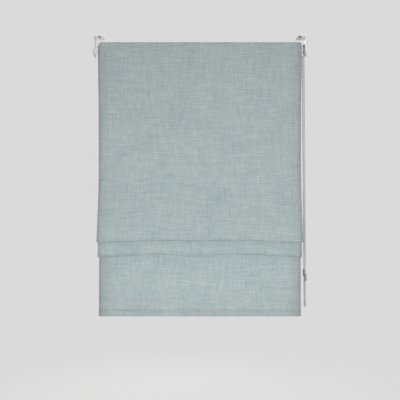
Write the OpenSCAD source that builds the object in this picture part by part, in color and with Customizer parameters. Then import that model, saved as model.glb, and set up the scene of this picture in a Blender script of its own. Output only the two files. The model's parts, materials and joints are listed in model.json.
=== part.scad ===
/* [Overall size] */
// Distance between the outer faces of the two end brackets
overall_width = 600; // [480:1:900]
// Distance of the fabric's side edge from the bracket's outer face
fabric_inset = 15; // [14.5:0.5:24]
// Drop of the fabric's top edge below the bracket tops
fabric_top_drop = 19; // [16:0.5:24]
// Drop from the fabric's top edge to the lower hem in the pose shown
shown_drop = 771; // [720:1:1000]

/* [Folds] */
// Drop from the fabric's top edge to the upper rod
first_rod_drop = 386; // [330:1:400]
// Drop from the fabric's top edge to the first fold edge
first_fold_drop = 555; // [540:1:600]
// Height between one fold edge and the next, and between one rod and the next
stack_step = 40; // [34:1:46]
// Reach of the first fold edge in front of the shaft axis
first_fold_reach = 42; // [36:1:56]
// Reach of the second fold edge in front of the shaft axis
second_fold_reach = 25; // [22:1:28]
// Rounding of the first fold edge
first_fold_r = 5; // [4:0.25:6]
// Rounding of the second fold edge
second_fold_r = 4; // [3:0.25:5]
// Rounding of the cloth under the middle and lower rods
crest_r = 1.9; // [1.6:0.1:2.4]
// Drop at which the front panel leaves the plane of the tape
panel_start_drop = 48; // [44:1:80]
// Drop at which the front panel reaches its rearmost plane
panel_end_drop = 190; // [150:1:300]
// Bend of the front panel below the upper rod, straight at one
panel_power = 1.15; // [1:0.05:1.5]
// Distance of the upper rod in front of the middle one
rod_set_back = 1.2; // [0.8:0.1:1.6]
// Gap between the lower rod's pocket and the leg of cloth in front of it
leg_gap = 0.25; // [0.2:0.05:0.6]
// Distance of the lower panel in front of the shaft axis at the hem
hem_reach = 3; // [0:0.5:6]

/* [Cloth] */
// Thickness of the face fabric
face_t = 0.9; // [0.7:0.05:1.1]
// Thickness of the lining
lining_t = 0.6; // [0.4:0.05:0.8]
// Gap between two layers of cloth
cloth_gap = 0.05; // [0.03:0.01:0.1]
// Distance of the lining's side edge from the fabric's side edge
lining_inset = 30; // [22:1:40]
// Height of the fabric turned back at the top
top_turn = 26; // [15:1:30]
// Height of the bottom bar's pocket
hem_height = 18; // [17.5:0.5:26]
// Drop of the lining's top edge below the fabric's top edge
lining_top_drop = 30; // [28:1:40]

/* [Headrail] */
// Depth of the headrail
rail_depth = 28; // [27:0.5:32]
// Height of the headrail
rail_height = 34; // [32:0.5:40]
// Wall of the headrail
rail_wall = 1.5; // [1.2:0.1:1.6]
// Width of the headrail's lower lips
rail_lip = 2; // [1:0.25:2.2]
// Rounding of the headrail's outer edges
rail_r = 1.2; // [0.5:0.1:1.5]
// Width of the grooves along the headrail's back
rail_groove_w = 1.6; // [1:0.2:3]
// Depth of the grooves along the headrail's back
rail_groove_d = 0.4; // [0.2:0.1:0.6]
// Height of the fabric's top edge above the headrail
fabric_over = 1; // [0.5:0.25:2]
// Overhang of the headrail beyond the fabric's side edge
rail_over = 1; // [0.5:0.25:2]
// Thickness of the hook tape
hook_t = 1; // [0.8:0.1:1.4]
// Thickness of the loop tape
loop_t = 1; // [0.8:0.1:1.4]
// Width of both tapes
tape_w = 22; // [16:1:26]
// Distance of the tapes below the headrail's top
tape_drop = 3; // [2:0.5:5]
// Distance of the tape ends from the fabric's side edge
tape_inset = 6; // [4:1:20]
// Fitting gap between a moulded part and the headrail
fit_gap = 0.1; // [0.05:0.05:0.2]

/* [Brackets] */
// Sheet thickness of the brackets
bracket_t = 2; // [1.5:0.25:2.25]
// Height of the bracket plate
bracket_h = 56; // [52:1:64]
// Depth of the bracket plate
bracket_depth = 48; // [44:1:60]
// Width of the bracket's top flange
bracket_flange = 28; // [24:1:36]
// Width of the bracket's turned front lip
bracket_lip = 6; // [4:0.5:7]
// Height of the taper at the lip's lower end
lip_taper = 20; // [10:1:30]
// Relief between the front lip and the top flange
lip_relief = 1; // [0.5:0.25:2]
// Outer rounding of the bracket's bends
bend_r = 2.5; // [2.25:0.25:3]
// Rounding of the bracket's corners
bracket_r = 4; // [2:0.5:6]
// Diameter of the fixing holes
fix_hole_d = 4.5; // [4:0.25:5]
// Spacing of the fixing holes from front to back
fix_hole_y = 24; // [20:1:32]
// Distance of the fixing holes from the bracket's outer face
fix_hole_in = 18; // [14:0.5:20]

/* [End fittings] */
// Thickness of the end flanges
flange_t = 2.6; // [2:0.1:3]
// Margin of the end flanges around the headrail
flange_margin = 1.5; // [1:0.25:1.5]
// Rounding of the end flanges
flange_r = 4; // [2:0.5:6]
// Depth to which the end fittings plug into the headrail
plug_len = 16; // [14:1:24]
// Radius of the left spigot
spigot_r = 5; // [4:0.25:6]
// Radius of the collar behind the left spigot
spigot_collar_r = 8; // [7:0.5:10]
// Side of the square spigot on the control cover
spigot_w = 10; // [8:0.5:12]
// Clearance of the spigots in the brackets
spigot_clear = 0.1; // [0.05:0.05:0.2]
// Radius of the shaft bush
bush_r = 5; // [4.5:0.25:6]
// Radius of the bush's flange
bush_flange_r = 6.5; // [6:0.25:7]
// Thickness of the bush's flange
bush_flange_t = 1.5; // [1:0.25:2]

/* [Drive] */
// Side of the square drive shaft
shaft_w = 6; // [5:0.25:6.5]
// Radius of the shaft's turned end
shaft_end_r = 2.4; // [2:0.1:2.4]
// Length of the shaft's turned end
shaft_end_len = 12; // [10:0.5:13]
// Radial running clearance of every turning piece
run_clear = 0.05; // [0.03:0.01:0.08]
// Clearance of the shaft in a square socket
socket_clear = 0.1; // [0.05:0.05:0.2]
// Depth of the shaft in the chain wheel's hub
socket_len = 12; // [8:1:14]
// Radius of the cord spools
spool_r = 8.4; // [7.5:0.1:8.6]
// Length of the spool between its flanges
spool_len = 18; // [12:1:30]
// Radius of the spool's flanges
spool_flange_r = 10.9; // [10:0.1:11]
// Thickness of the spool's flanges
spool_flange_t = 1.4; // [1:0.1:2]
// Radius of the spool's journals
journal_r = 5.4; // [5:0.1:6]
// Length of the spool's journals
journal_len = 3.6; // [3:0.2:5]
// Gap beside a turning flange
side_gap = 0.4; // [0.3:0.05:0.6]
// Thickness of the cradle's bearing plates
cradle_plate_t = 3; // [2:0.2:3.4]
// Height of the cradle's side bars
cradle_bar_h = 4; // [3:0.5:5]
// Thickness of the cradle's side bars
cradle_bar_t = 1.9; // [1.5:0.1:1.95]

/* [Chain control] */
// Diameter of the chain's beads
bead_d = 4.5; // [4:0.1:4.6]
// Distance from bead to bead
bead_pitch = 6; // [5.8:0.1:6.2]
// Diameter of the chain's links
link_d = 1.3; // [1:0.1:1.5]
// Number of links in each hanging run
run_links = 119; // [60:1:140]
// Sideways lean of the hanging runs over their whole length
chain_lean = 5; // [0:0.5:8]
// Number of beads in a full turn of the chain wheel
wheel_beads = 12; // [12:2:12]
// Number of beads in a full turn of the loop's lower bend
loop_beads = 10; // [8:2:12]
// Width of the chain wheel
wheel_w = 6.4; // [5.6:0.1:6.6]
// Clearance of a bead in its pocket
pocket_clear = 0.15; // [0.1:0.05:0.2]
// Height of the wheel's teeth above the pitch circle
tooth_over = 0.3; // [0.1:0.05:0.5]
// Width of the groove for the links
link_groove = 1.9; // [1.6:0.1:2.2]
// Radius of the wheel's hub
hub_r = 6.5; // [5.5:0.1:6.6]
// Length of the hub behind the plug
hub_over = 1; // [0.5:0.25:3]
// Radius of the cover's pivot pin
pivot_r = 2.6; // [2:0.1:3]
// Depth of the pivot pin in the wheel
pivot_len = 4; // [3:0.25:5]
// Thickness of the control cover
cover_t = 1.6; // [1.2:0.1:1.8]
// Gap between the beads and the hood
hood_gap = 1.3; // [1:0.1:1.5]
// Wall of the hood
hood_t = 1.6; // [1.2:0.1:2]
// Height of the hood's front edge above the wheel's axis
hood_front = 11; // [8:0.5:13]
// Wire of the clutch spring
spring_d = 1.2; // [1:0.1:1.4]
// Number of coils of the clutch spring
spring_coils = 6; // [4:1:7]
// Gap between the hub and the clutch spring
spring_gap = 0.3; // [0.3:0.05:0.5]
// Radius of the chain connector
connector_r = 3.3; // [3.1:0.1:3.6]
// Thickness of the connector's end lips
connector_lip = 1; // [0.8:0.1:1]
// Slack of the beads in the connector
connector_slack = 0.2; // [0.15:0.05:0.2]
// Width of the connector's side slot
connector_slot = 1.6; // [1.4:0.1:2]
// Place of the connector on the front run, counted in beads from the wheel
connector_bead = 107; // [5:1:112]
// Place of the joiner on the rear run, counted in beads from the wheel
joiner_bead = 105; // [5:1:112]

/* [Rods and cords] */
// Distance of each lift cord from the middle
cord_span = 135; // [100:1:200]
// Diameter of the lift cords
cord_d = 1.2; // [0.8:0.1:1.4]
// Diameter of the rods
rod_d = 4; // [3.6:0.1:4.2]
// Distance of the rod ends from the lining's side edge
rod_inset = 5; // [3:1:20]
// Inner radius of the rod pockets
pocket_r = 3; // [2.95:0.05:3.2]
// Width of the window in a pocket at each ring
window_w = 14; // [10:1:24]
// Thickness of the ring's collar
collar_t = 0.8; // [0.6:0.05:0.85]
// Width of the ring's collar
collar_w = 6; // [4:0.5:9]
// Mean radius of the ring's eye
eye_r = 5.2; // [5:0.1:5.6]
// Wire of the ring's eye
eye_d = 2.2; // [1.8:0.1:2.2]
// Width of the neck between collar and eye
neck_w = 3; // [2:0.25:4]
// Height of the neck between collar and eye
neck_h = 1.8; // [1.2:0.1:2]
// Thickness of the cord stop's plate
stop_plate_t = 1.3; // [1:0.1:1.5]
// Radius of the cord stop's body
stop_r = 3; // [2.5:0.1:3.4]
// Length of the cord stop's body
stop_len = 14; // [10:1:20]
// Depth of the cord in the stop's body
cord_grip = 8; // [5:1:9]
// Gap between the cord stop and the lower ring
stop_gap = 0.1; // [0.05:0.05:0.2]

/* [Bottom bar] */
// Thickness of the bottom bar
bar_t = 3; // [2.5:0.25:3.5]
// Height of the bottom bar
bar_h = 10; // [8:0.5:10.5]
// Rounding of the bottom bar's edges
bar_r = 1; // [0.4:0.1:1.2]
// Distance of the bar ends from the fabric's side edge
bar_inset = 14; // [10:1:30]
// Clearance of the bar in its pocket
bar_clear = 0.8; // [0.7:0.05:0.95]
// Wall of the bar's end caps
bar_cap_t = 0.5; // [0.4:0.05:0.6]
// Length of the bar's end caps
bar_cap_len = 12; // [8:1:20]
// Clearance of the end caps on the bar
bar_cap_clear = 0.05; // [0.03:0.01:0.08]

/* [Part] */
// Piece to draw, or all

/* [Hidden] */
// Number of steps in each curve of the cloth
curve_steps = 14;
// Number of steps in each rounding of the cloth
bend_steps = 12;
// Roundness of every drawn circle
round_n = 48;
// Overrun of every cutting shape
overrun = 1;
// Half and double as plain factors
half = 0.5;
// Number of steps in each turn of the clutch spring
coil_steps = 16;
// Number of flats round the clutch spring's wire
wire_sides = 6;
// Share of the lowest stretch of the panel that the lining covers
lining_end_share = 0.9;
// Share of the headrail's height between its axis and each groove
rail_groove_share = 0.25;
// Half widths along the blind
half_width = overall_width / 2;
fabric_half = half_width - fabric_inset;
rail_half = fabric_half + rail_over;
lining_half = fabric_half - lining_inset;
rod_half = lining_half - rod_inset;
bar_half = fabric_half - bar_inset;
tape_half = fabric_half - tape_inset;
bracket_in = half_width - bracket_t;
fix_hole_x = half_width - fix_hole_in;
// Heights of the fabric and the headrail
fabric_top = -fabric_top_drop;
rail_top = fabric_top - fabric_over;
rail_low = rail_top - rail_height;
axis_z = rail_top - rail_height / 2;
rail_in_y = rail_depth / 2 - rail_wall;
tape_top = rail_top - tape_drop;
// Layers in front of the headrail, measured from the shaft axis
hook_y = -rail_depth / 2;
loop_y = hook_y - hook_t - cloth_gap;
turn_y = loop_y - loop_t - cloth_gap - face_t / 2;
front_y = turn_y - face_t - 2 * cloth_gap;
// Cord line, rods and the cloth at the rods
cord_y = spool_r + cord_d / 2;
eye_reach = spool_r + cord_d / 2;
rod_r = rod_d / 2;
pocket_mid = pocket_r + lining_t / 2;
lining_off = face_t / 2 + cloth_gap + lining_t / 2;
cloth_back = lining_off + lining_t / 2;
rod_z = [for (i = [0:2]) fabric_top - first_rod_drop - i * stack_step];
panel_y = -rod_set_back - pocket_mid - cloth_back;
crest_z = [for (i = [0:2]) rod_z[i] - pocket_mid - cloth_back - crest_r];
fold_z = [
    fabric_top - first_fold_drop + first_fold_r + face_t / 2,
    fabric_top - first_fold_drop - stack_step + second_fold_r + face_t / 2
];
fold_y = [-first_fold_reach + first_fold_r, -second_fold_reach + second_fold_r];
fold_r = [first_fold_r, second_fold_r];
// Hem and bottom bar
hem_r = (bar_t + 2 * bar_clear + face_t) / 2;
hem_z = fabric_top - shown_drop + hem_r + face_t / 2;
hem_y = -hem_reach;
bar_y = hem_y + hem_r;
bar_low = hem_z + bar_cap_t + bar_cap_clear;
hem_turn = bar_low + bar_h + bar_cap_t + bar_cap_clear + bar_clear / 2;
// End fittings and chain control along the width
flange_out = rail_half + flange_t;
wheel_in = flange_out + side_gap;
wheel_x = wheel_in + wheel_w / 2;
cover_in = wheel_in + wheel_w + side_gap;
cover_out = cover_in + cover_t;
plug_in = rail_half - plug_len;
wheel_r = bead_pitch / 2 / sin(180 / wheel_beads);
loop_r = bead_pitch / 2 / sin(180 / loop_beads);
bead_r = bead_d / 2;
tooth_r = wheel_r + tooth_over;
hood_r = wheel_r + bead_r + hood_gap;
spring_r = hub_r + spring_gap + spring_d / 2;
bore_r = spring_r + spring_d / 2 + run_clear;
hub_in = plug_in - hub_over;
run_len = run_links * bead_pitch;
run_side = wheel_r - loop_r;
run_drop = sqrt(run_len * run_len - run_side * run_side - chain_lean * chain_lean);
loop_z = axis_z - run_drop;
groove_r = wheel_r * cos(180 / wheel_beads) - link_d / 2 - pocket_clear;

$fn = round_n;

// Smooth step from zero to one
function ease(u) = u * u * (3 - 2 * u);

// Points of an arc in the depth and height plane
function arc(c, r, from, to) = [
    for (i = [0:bend_steps]) let (a = from + (to - from) * i / bend_steps)
        [c[0] + r * cos(a), c[1] + r * sin(a)]
];

// Tilt of the line between two circle centres
function lean(a, b) = atan2(a[0] - b[0], a[1] - b[1]);

// Turn of the crossing tangent against that line
function cross(a, b, ra, rb) = asin((ra + rb) / norm(a - b));

// Centres of the fold edges and of the middle rod's crest
fold_c = [for (i = [0:1]) [fold_y[i], fold_z[i]]];
middle_c = [0, crest_z[1]];

// Leg of cloth from the middle rod down to the second fold
fall_tilt = lean(middle_c, fold_c[1]) + cross(middle_c, fold_c[1], crest_r, fold_r[1]);
fall_top = crest_z[1] - crest_r * sin(fall_tilt);
fall_y = crest_r * cos(fall_tilt) - (fall_top - rod_z[2]) * tan(fall_tilt);

// Rods, of which the lower one stands behind that leg
low_rod_y = fall_y + (cloth_back + pocket_r + lining_t + leg_gap) / cos(fall_tilt);
rod_y = [-rod_set_back, 0, low_rod_y];
crest_c = [for (i = [0:2]) [rod_y[i], crest_z[i]]];
stop_plate_r = cord_y + cloth_gap - low_rod_y - rod_r - run_clear - collar_t - stop_gap;

// Tilt of the other legs of cloth
panel_tilt = atan(panel_power * (panel_y + first_fold_reach) / (rod_z[0] - fold_z[0]));
rise_tilt = [
    for (i = [0:1])
        lean(crest_c[i + 1], fold_c[i]) - cross(crest_c[i + 1], fold_c[i], crest_r, fold_r[i])
];
panel_end = [
    fold_c[0][0] - first_fold_r * cos(panel_tilt),
    fold_c[0][1] + first_fold_r * sin(panel_tilt)
];
hem_start = [crest_c[2][0] + crest_r, crest_c[2][1]];

// Middle line of the front panel from the tape to the first fold
panel_line = concat(
    [[front_y, fabric_top - lining_top_drop]],
    [for (i = [0:curve_steps]) let (u = i / curve_steps)
        [front_y + (panel_y - front_y) * ease(u),
         fabric_top - panel_start_drop - (panel_end_drop - panel_start_drop) * u]],
    [for (i = [0:curve_steps]) let (u = i / curve_steps)
        [panel_y + (panel_end[0] - panel_y) * pow(u, panel_power),
         rod_z[0] + (panel_end[1] - rod_z[0]) * u]]
);

// Middle line through the two folds
fold_line = concat(
    arc(fold_c[0], fold_r[0], 180 - panel_tilt, 360 - rise_tilt[0]),
    arc(crest_c[1], crest_r, 180 - rise_tilt[0], -fall_tilt),
    arc(fold_c[1], fold_r[1], 180 - fall_tilt, 360 - rise_tilt[1]),
    arc(crest_c[2], crest_r, 180 - rise_tilt[1], 0)
);

// Middle line of the lower panel down to the hem
lower_line = [for (i = [1:curve_steps]) let (u = i / curve_steps)
    [hem_start[0] + (hem_y - hem_start[0]) * ease(u),
     hem_start[1] + (hem_z + hem_height - hem_r - hem_start[1]) * u]];

// Middle line of the fabric turned over at the top and round the bar
top_r = (turn_y - front_y) / 2;
top_c = [front_y + top_r, fabric_top - top_r - face_t / 2];
top_line = concat([[turn_y, fabric_top - top_turn]], arc(top_c, top_r, 0, 180));
hem_line = concat(
    arc([bar_y, hem_z], hem_r, 180, 360),
    [[bar_y + hem_r, hem_turn],
     [hem_y + face_t + cloth_gap, hem_z + hem_height - hem_r]]
);

// Lower panel as far as the lining covers it
lining_low = [
    for (i = [0:curve_steps - 1])
        i < curve_steps - 1 ? lower_line[i]
            : lower_line[i - 1] + (lower_line[i] - lower_line[i - 1]) * lining_end_share
];

// Middle line with points that lie on each other taken out
function tidy(p) = [
    for (i = [0:len(p) - 1])
        if (i == 0 || norm(p[i] - p[max(0, i - 1)]) > cloth_gap) p[i]
];
face_path = tidy(concat(top_line, panel_line, fold_line, lower_line, hem_line));
lining_path = tidy(concat(panel_line, fold_line, lining_low));

// Unit direction across a line at one of its points
function across(p, i) =
    let (a = p[max(0, i - 1)], b = p[min(len(p) - 1, i + 1)], d = b - a)
        [-d[1], d[0]] / norm(d);

// Line moved sideways by a distance
function beside(p, s) = [for (i = [0:len(p) - 1]) p[i] + s * across(p, i)];
function reversed(p) = [for (i = [len(p) - 1:-1:0]) p[i]];

// Closed outline of a layer of cloth along a line
function layer(p, s, t) = concat(beside(p, s + t / 2), reversed(beside(p, s - t / 2)));

// Outline drawn in depth and height, run along the width about the middle
module along(length) {
    rotate([90, 0, 90])
        translate([0, 0, -length / 2])
            linear_extrude(height = length)
                children();
}

// Round bar along the width
module axle(r, from, to) {
    translate([from, 0, axis_z])
        rotate([0, 90, 0])
            cylinder(r = r, h = to - from);
}

// Box between two corners
module span(a, b) {
    translate(a)
        cube(b - a);
}

// Rectangle with rounded corners about its middle
module round_rect(w, h, r) {
    square([w - 2 * r, h], center = true);
    square([w, h - 2 * r], center = true);
    for (sx = [-1, 1], sy = [-1, 1])
        translate([sx * (w / 2 - r), sy * (h / 2 - r)])
            circle(r = r);
}

// Corner taken off outside a bend that turns at the origin
module bend_cut() {
    difference() {
        translate([-bend_r, -bend_r])
            square(2 * bend_r);
        translate([bend_r, -bend_r])
            circle(r = bend_r);
    }
}

// Section of the bracket's plate and flange, with the outer corner at the origin
module bracket_section() {
    difference() {
        union() {
            translate([0, -bracket_h])
                square([bracket_t, bracket_h]);
            translate([0, -bracket_t])
                square([bracket_flange, bracket_t]);
        }
        bend_cut();
    }
}

// Outline of the bracket's front lip, narrowing towards its lower end
module lip_outline() {
    polygon([
        [0, -bracket_t - lip_relief],
        [bracket_lip, -bracket_t - lip_relief],
        [bracket_lip, -bracket_h + lip_taper],
        [bracket_t, -bracket_h],
        [0, -bracket_h]
    ]);
}

// Bent sheet bracket on the left side, without the hole for its spigot
module bracket_blank() {
    difference() {
        union() {
            translate([-half_width, bracket_depth / 2, 0])
                rotate([90, 0, 0])
                    linear_extrude(height = bracket_depth)
                        bracket_section();
            translate([-half_width, -bracket_depth / 2 + bracket_t, 0])
                rotate([90, 0, 0])
                    linear_extrude(height = bracket_t)
                        lip_outline();
        }
        translate([-half_width, -bracket_depth / 2, -bracket_h - overrun])
            mirror([0, 1, 0])
                linear_extrude(height = bracket_h + 2 * overrun)
                    bend_cut();
        for (sy = [-1, 1])
            translate([-fix_hole_x, sy * fix_hole_y / 2, -bracket_t - overrun])
                cylinder(d = fix_hole_d, h = bracket_t + 2 * overrun);
        translate([-half_width + bracket_flange, 0, -bracket_t - overrun])
            corner_cut(bracket_depth / 2, bracket_t + 2 * overrun);
        translate([-half_width - overrun, bracket_depth / 2, -bracket_h])
            rotate([0, 90, 0])
                round_cut(bracket_r, bracket_t + 2 * overrun);
    }
}

// Cutters that round two corners of the flange and one of the plate
module corner_cut(reach, height) {
    for (sy = [-1, 1])
        translate([0, sy * reach, 0])
            difference() {
                translate([-bracket_r, -bracket_r, 0])
                    cube([2 * bracket_r, 2 * bracket_r, height]);
                translate([-bracket_r, -sy * bracket_r, -overrun])
                    cylinder(r = bracket_r, h = height + 2 * overrun);
                translate([-3 * bracket_r, -sy * bracket_r - 2 * bracket_r, -overrun])
                    cube([2 * bracket_r, 4 * bracket_r, height + 2 * overrun]);
                translate([-2 * bracket_r, -sy * bracket_r - bracket_r - sy * bracket_r, -overrun])
                    cube([4 * bracket_r, 2 * bracket_r, height + 2 * overrun]);
            }
}
module round_cut(r, height) {
    difference() {
        translate([-r, -r, 0])
            cube([2 * r, 2 * r, height]);
        translate([-r, -r, -overrun])
            cylinder(r = r, h = height + 2 * overrun);
    }
}

module left_bracket() {
    color([0.94, 0.94, 0.93])
        difference() {
            bracket_blank();
            axle(spigot_r + spigot_clear, -half_width - overrun, -half_width + bracket_t + overrun);
        }
}

module right_bracket() {
    color([0.94, 0.94, 0.93])
        difference() {
            mirror([1, 0, 0])
                bracket_blank();
            translate([half_width - bracket_t / 2, 0, axis_z])
                cube(
                    [bracket_t + 2 * overrun, spigot_w + 2 * spigot_clear, spigot_w + 2 * spigot_clear],
                    center = true
                );
        }
}

// Section of the headrail, open below between its lips
module rail_section() {
    difference() {
        round_rect(rail_depth, rail_height, rail_r);
        square([2 * rail_in_y, rail_height - 2 * rail_wall], center = true);
        translate([0, -rail_height / 2])
            square([2 * (rail_in_y - rail_lip), 4 * rail_wall], center = true);
        for (s = [-1, 1])
            translate([rail_depth / 2, s * rail_height * rail_groove_share])
                square([2 * rail_groove_d, rail_groove_w], center = true);
    }
}

module headrail() {
    color([0.9, 0.9, 0.89])
        translate([0, 0, axis_z])
            along(2 * rail_half)
                rail_section();
}

module hook_tape() {
    color([0.9, 0.9, 0.88])
        span([-tape_half, hook_y - hook_t, tape_top - tape_w], [tape_half, hook_y, tape_top]);
}

module loop_tape() {
    color([0.92, 0.92, 0.9])
        span([-tape_half, loop_y - loop_t, tape_top - tape_w], [tape_half, loop_y, tape_top]);
}

// Plug that fills the headrail's inside between two places
module plug(from, to) {
    span(
        [from, -rail_in_y + fit_gap, rail_low + rail_wall + fit_gap],
        [to, rail_in_y - fit_gap, rail_top - rail_wall - fit_gap]
    );
}

// End flange between two places
module end_flange(from, to) {
    translate([(from + to) / 2, 0, axis_z])
        along(to - from)
            round_rect(rail_depth + 2 * flange_margin, rail_height + 2 * flange_margin, flange_r);
}

module left_end_cap() {
    color([0.93, 0.93, 0.92])
        difference() {
            union() {
                plug(-rail_half, -plug_in);
                end_flange(-flange_out, -rail_half);
                axle(spigot_collar_r, -bracket_in + side_gap, -flange_out);
                axle(spigot_r, -half_width, -flange_out);
            }
            axle(bush_r + fit_gap / 2, -rail_half, -plug_in + overrun);
            axle(bush_flange_r + fit_gap / 2, -plug_in - bush_flange_t, -plug_in + overrun);
        }
}

module shaft_bush() {
    color([0.3, 0.3, 0.32])
        difference() {
            union() {
                axle(bush_r, -rail_half + fit_gap, -plug_in);
                axle(bush_flange_r, -plug_in - bush_flange_t + fit_gap, -plug_in);
            }
            axle(shaft_end_r + run_clear, -rail_half, -plug_in + overrun);
        }
}

module control_housing() {
    color([0.94, 0.94, 0.93])
        difference() {
            union() {
                plug(plug_in, rail_half);
                end_flange(rail_half, flange_out);
            }
            axle(hub_r + run_clear, plug_in - overrun, flange_out + overrun);
            axle(bore_r, plug_in + flange_t, rail_half);
        }
}

module control_cover() {
    color([0.94, 0.94, 0.93]) {
        axle(hood_r + hood_t, cover_in, cover_out);
        axle(pivot_r, cover_in - pivot_len, cover_in + cover_t / 2);
        translate([(cover_out + half_width) / 2 - cover_t / 4, 0, axis_z])
            cube([half_width - cover_out + cover_t / 2, spigot_w, spigot_w], center = true);
        difference() {
            axle(hood_r + hood_t, flange_out, cover_in + cover_t / 2);
            axle(hood_r, flange_out - overrun, cover_in + cover_t);
            span(
                [flange_out - overrun, -2 * hood_r, axis_z - 2 * hood_r],
                [cover_in, 0, axis_z + hood_front]
            );
            span(
                [flange_out - overrun, -2 * hood_r, axis_z - 2 * hood_r],
                [cover_in, 2 * hood_r, axis_z]
            );
        }
    }
}

// Round wire wound about the shaft axis between two places
module coil(from, to, turns, r, d) {
    steps = turns * coil_steps;
    points = [
        for (i = [0:steps], k = [0:wire_sides - 1])
            let (a = 360 * i / coil_steps, b = 360 * k / wire_sides, s = r + d / 2 * cos(b))
                [from + (to - from) * i / steps + d / 2 * sin(b), s * cos(a), axis_z + s * sin(a)]
    ];
    walls = [
        for (i = [0:steps - 1], k = [0:wire_sides - 1], h = [0, 1])
            let (p = i * wire_sides, q = p + wire_sides, n = (k + 1) % wire_sides)
                h == 0 ? [p + k, p + n, q + n] : [p + k, q + n, q + k]
    ];
    first = [for (k = [wire_sides - 1:-1:0]) k];
    last = [for (k = [0:wire_sides - 1]) steps * wire_sides + k];
    polyhedron(points, concat(walls, [first, last]));
}

module clutch_spring() {
    coil_room = rail_half - plug_in - flange_t - 2 * spring_d;
    first = plug_in + flange_t + spring_d;
    color([0.55, 0.55, 0.57])
        coil(first, first + coil_room, spring_coils, spring_r, spring_d);
}

// Cradle that carries one cord spool in the headrail
module cradle(x) {
    plate_x = spool_len / 2 + spool_flange_t + side_gap;
    bar_mid = rail_in_y - fit_gap - cradle_bar_t / 2;
    low = rail_low + rail_wall + fit_gap;
    high = rail_top - rail_wall - fit_gap;
    deep = rail_in_y - fit_gap;
    difference() {
        union() {
            for (s = [-1, 1])
                span(
                    [x + s * (plate_x + cradle_plate_t / 2) - cradle_plate_t / 2, -deep, low],
                    [x + s * (plate_x + cradle_plate_t / 2) + cradle_plate_t / 2, deep, high]
                );
            for (s = [-1, 1])
                span(
                    [x - plate_x - cradle_plate_t / 2, s * bar_mid - cradle_bar_t / 2, low],
                    [x + plate_x + cradle_plate_t / 2, s * bar_mid + cradle_bar_t / 2, low + cradle_bar_h]
                );
        }
        axle(journal_r + run_clear, x - 2 * plate_x, x + 2 * plate_x);
        span(
            [x - 2 * plate_x, -journal_r - run_clear, axis_z],
            [x + 2 * plate_x, journal_r + run_clear, high + overrun]
        );
    }
}

module left_cradle() {
    color([0.86, 0.86, 0.85])
        cradle(-cord_span);
}

module right_cradle() {
    color([0.86, 0.86, 0.85])
        cradle(cord_span);
}

// Square bar along the shaft axis
module square_bar(w, from, to) {
    span([from, -w / 2, axis_z - w / 2], [to, w / 2, axis_z + w / 2]);
}

module drive_shaft() {
    color([0.62, 0.63, 0.64]) {
        square_bar(shaft_w, -plug_in + side_gap, hub_in + socket_len);
        axle(shaft_end_r, -plug_in + side_gap - shaft_end_len, -plug_in + side_gap + overrun);
    }
}

module chain_wheel() {
    color([0.85, 0.85, 0.84])
        difference() {
            union() {
                axle(tooth_r, wheel_in, wheel_in + wheel_w);
                axle(hub_r, hub_in, wheel_in + overrun);
            }
            for (i = [0:wheel_beads - 1])
                translate([wheel_x, 0, axis_z])
                    rotate([i * 360 / wheel_beads, 0, 0])
                        translate([0, wheel_r, 0]) {
                            sphere(r = bead_r + pocket_clear);
                            rotate([-90, 0, 0])
                                cylinder(r = bead_r + pocket_clear, h = bead_d);
                        }
            translate([wheel_x, 0, axis_z])
                rotate([0, 90, 0])
                    rotate_extrude()
                        translate([groove_r, -link_groove / 2])
                            square([wheel_r, link_groove]);
            square_bar(shaft_w + 2 * socket_clear, hub_in - overrun, hub_in + socket_len + side_gap);
            axle(pivot_r + run_clear, cover_in - pivot_len - side_gap, cover_in + overrun);
        }
}

// Spool on the square shaft
module spool(x) {
    flange_x = spool_len / 2 + spool_flange_t;
    difference() {
        union() {
            axle(spool_r, x - spool_len / 2, x + spool_len / 2);
            for (s = [-1, 1])
                axle(
                    spool_flange_r,
                    x + s * (spool_len + spool_flange_t) / 2 - spool_flange_t / 2,
                    x + s * (spool_len + spool_flange_t) / 2 + spool_flange_t / 2
                );
            axle(journal_r, x - flange_x - journal_len, x + flange_x + journal_len);
        }
        square_bar(shaft_w + 2 * socket_clear, x - 2 * flange_x, x + 2 * flange_x);
    }
}

module left_spool() {
    color([0.9, 0.9, 0.88])
        spool(-cord_span);
}

module right_spool() {
    color([0.9, 0.9, 0.88])
        spool(cord_span);
}

// Frame of one hanging run, with the first bead at its start
module run_frame(side) {
    translate([wheel_x, side * wheel_r, axis_z])
        rotate([0, 0, atan2(-side * run_side, chain_lean)])
            rotate([0, 180 - acos(run_drop / run_len), 0])
                children();
}

// Beads and links of one hanging run
module run(side) {
    run_frame(side)
        rotate_extrude()
            intersection() {
                union() {
                    for (i = [1:run_links - 1])
                        translate([0, i * bead_pitch])
                            circle(d = bead_d);
                    square([link_d / 2, run_len]);
                }
                square([bead_d, run_len]);
            }
}

// Beads on a bend with the links between them
module bend(x, z, r, count, first) {
    step = 360 / count;
    translate([x, 0, z])
        for (i = [0:count / 2])
            rotate([first + i * step, 0, 0])
                translate([0, r, 0]) {
                    sphere(d = bead_d);
                    if (i < count / 2)
                        rotate([step / 2, 0, 0])
                            cylinder(d = link_d, h = bead_pitch);
                }
}

module bead_chain() {
    color([0.6, 0.6, 0.6]) {
        run(-1);
        run(1);
        bend(wheel_x, axis_z, wheel_r, wheel_beads, 0);
        bend(wheel_x + chain_lean, loop_z, loop_r, loop_beads, 180);
    }
}

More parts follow.
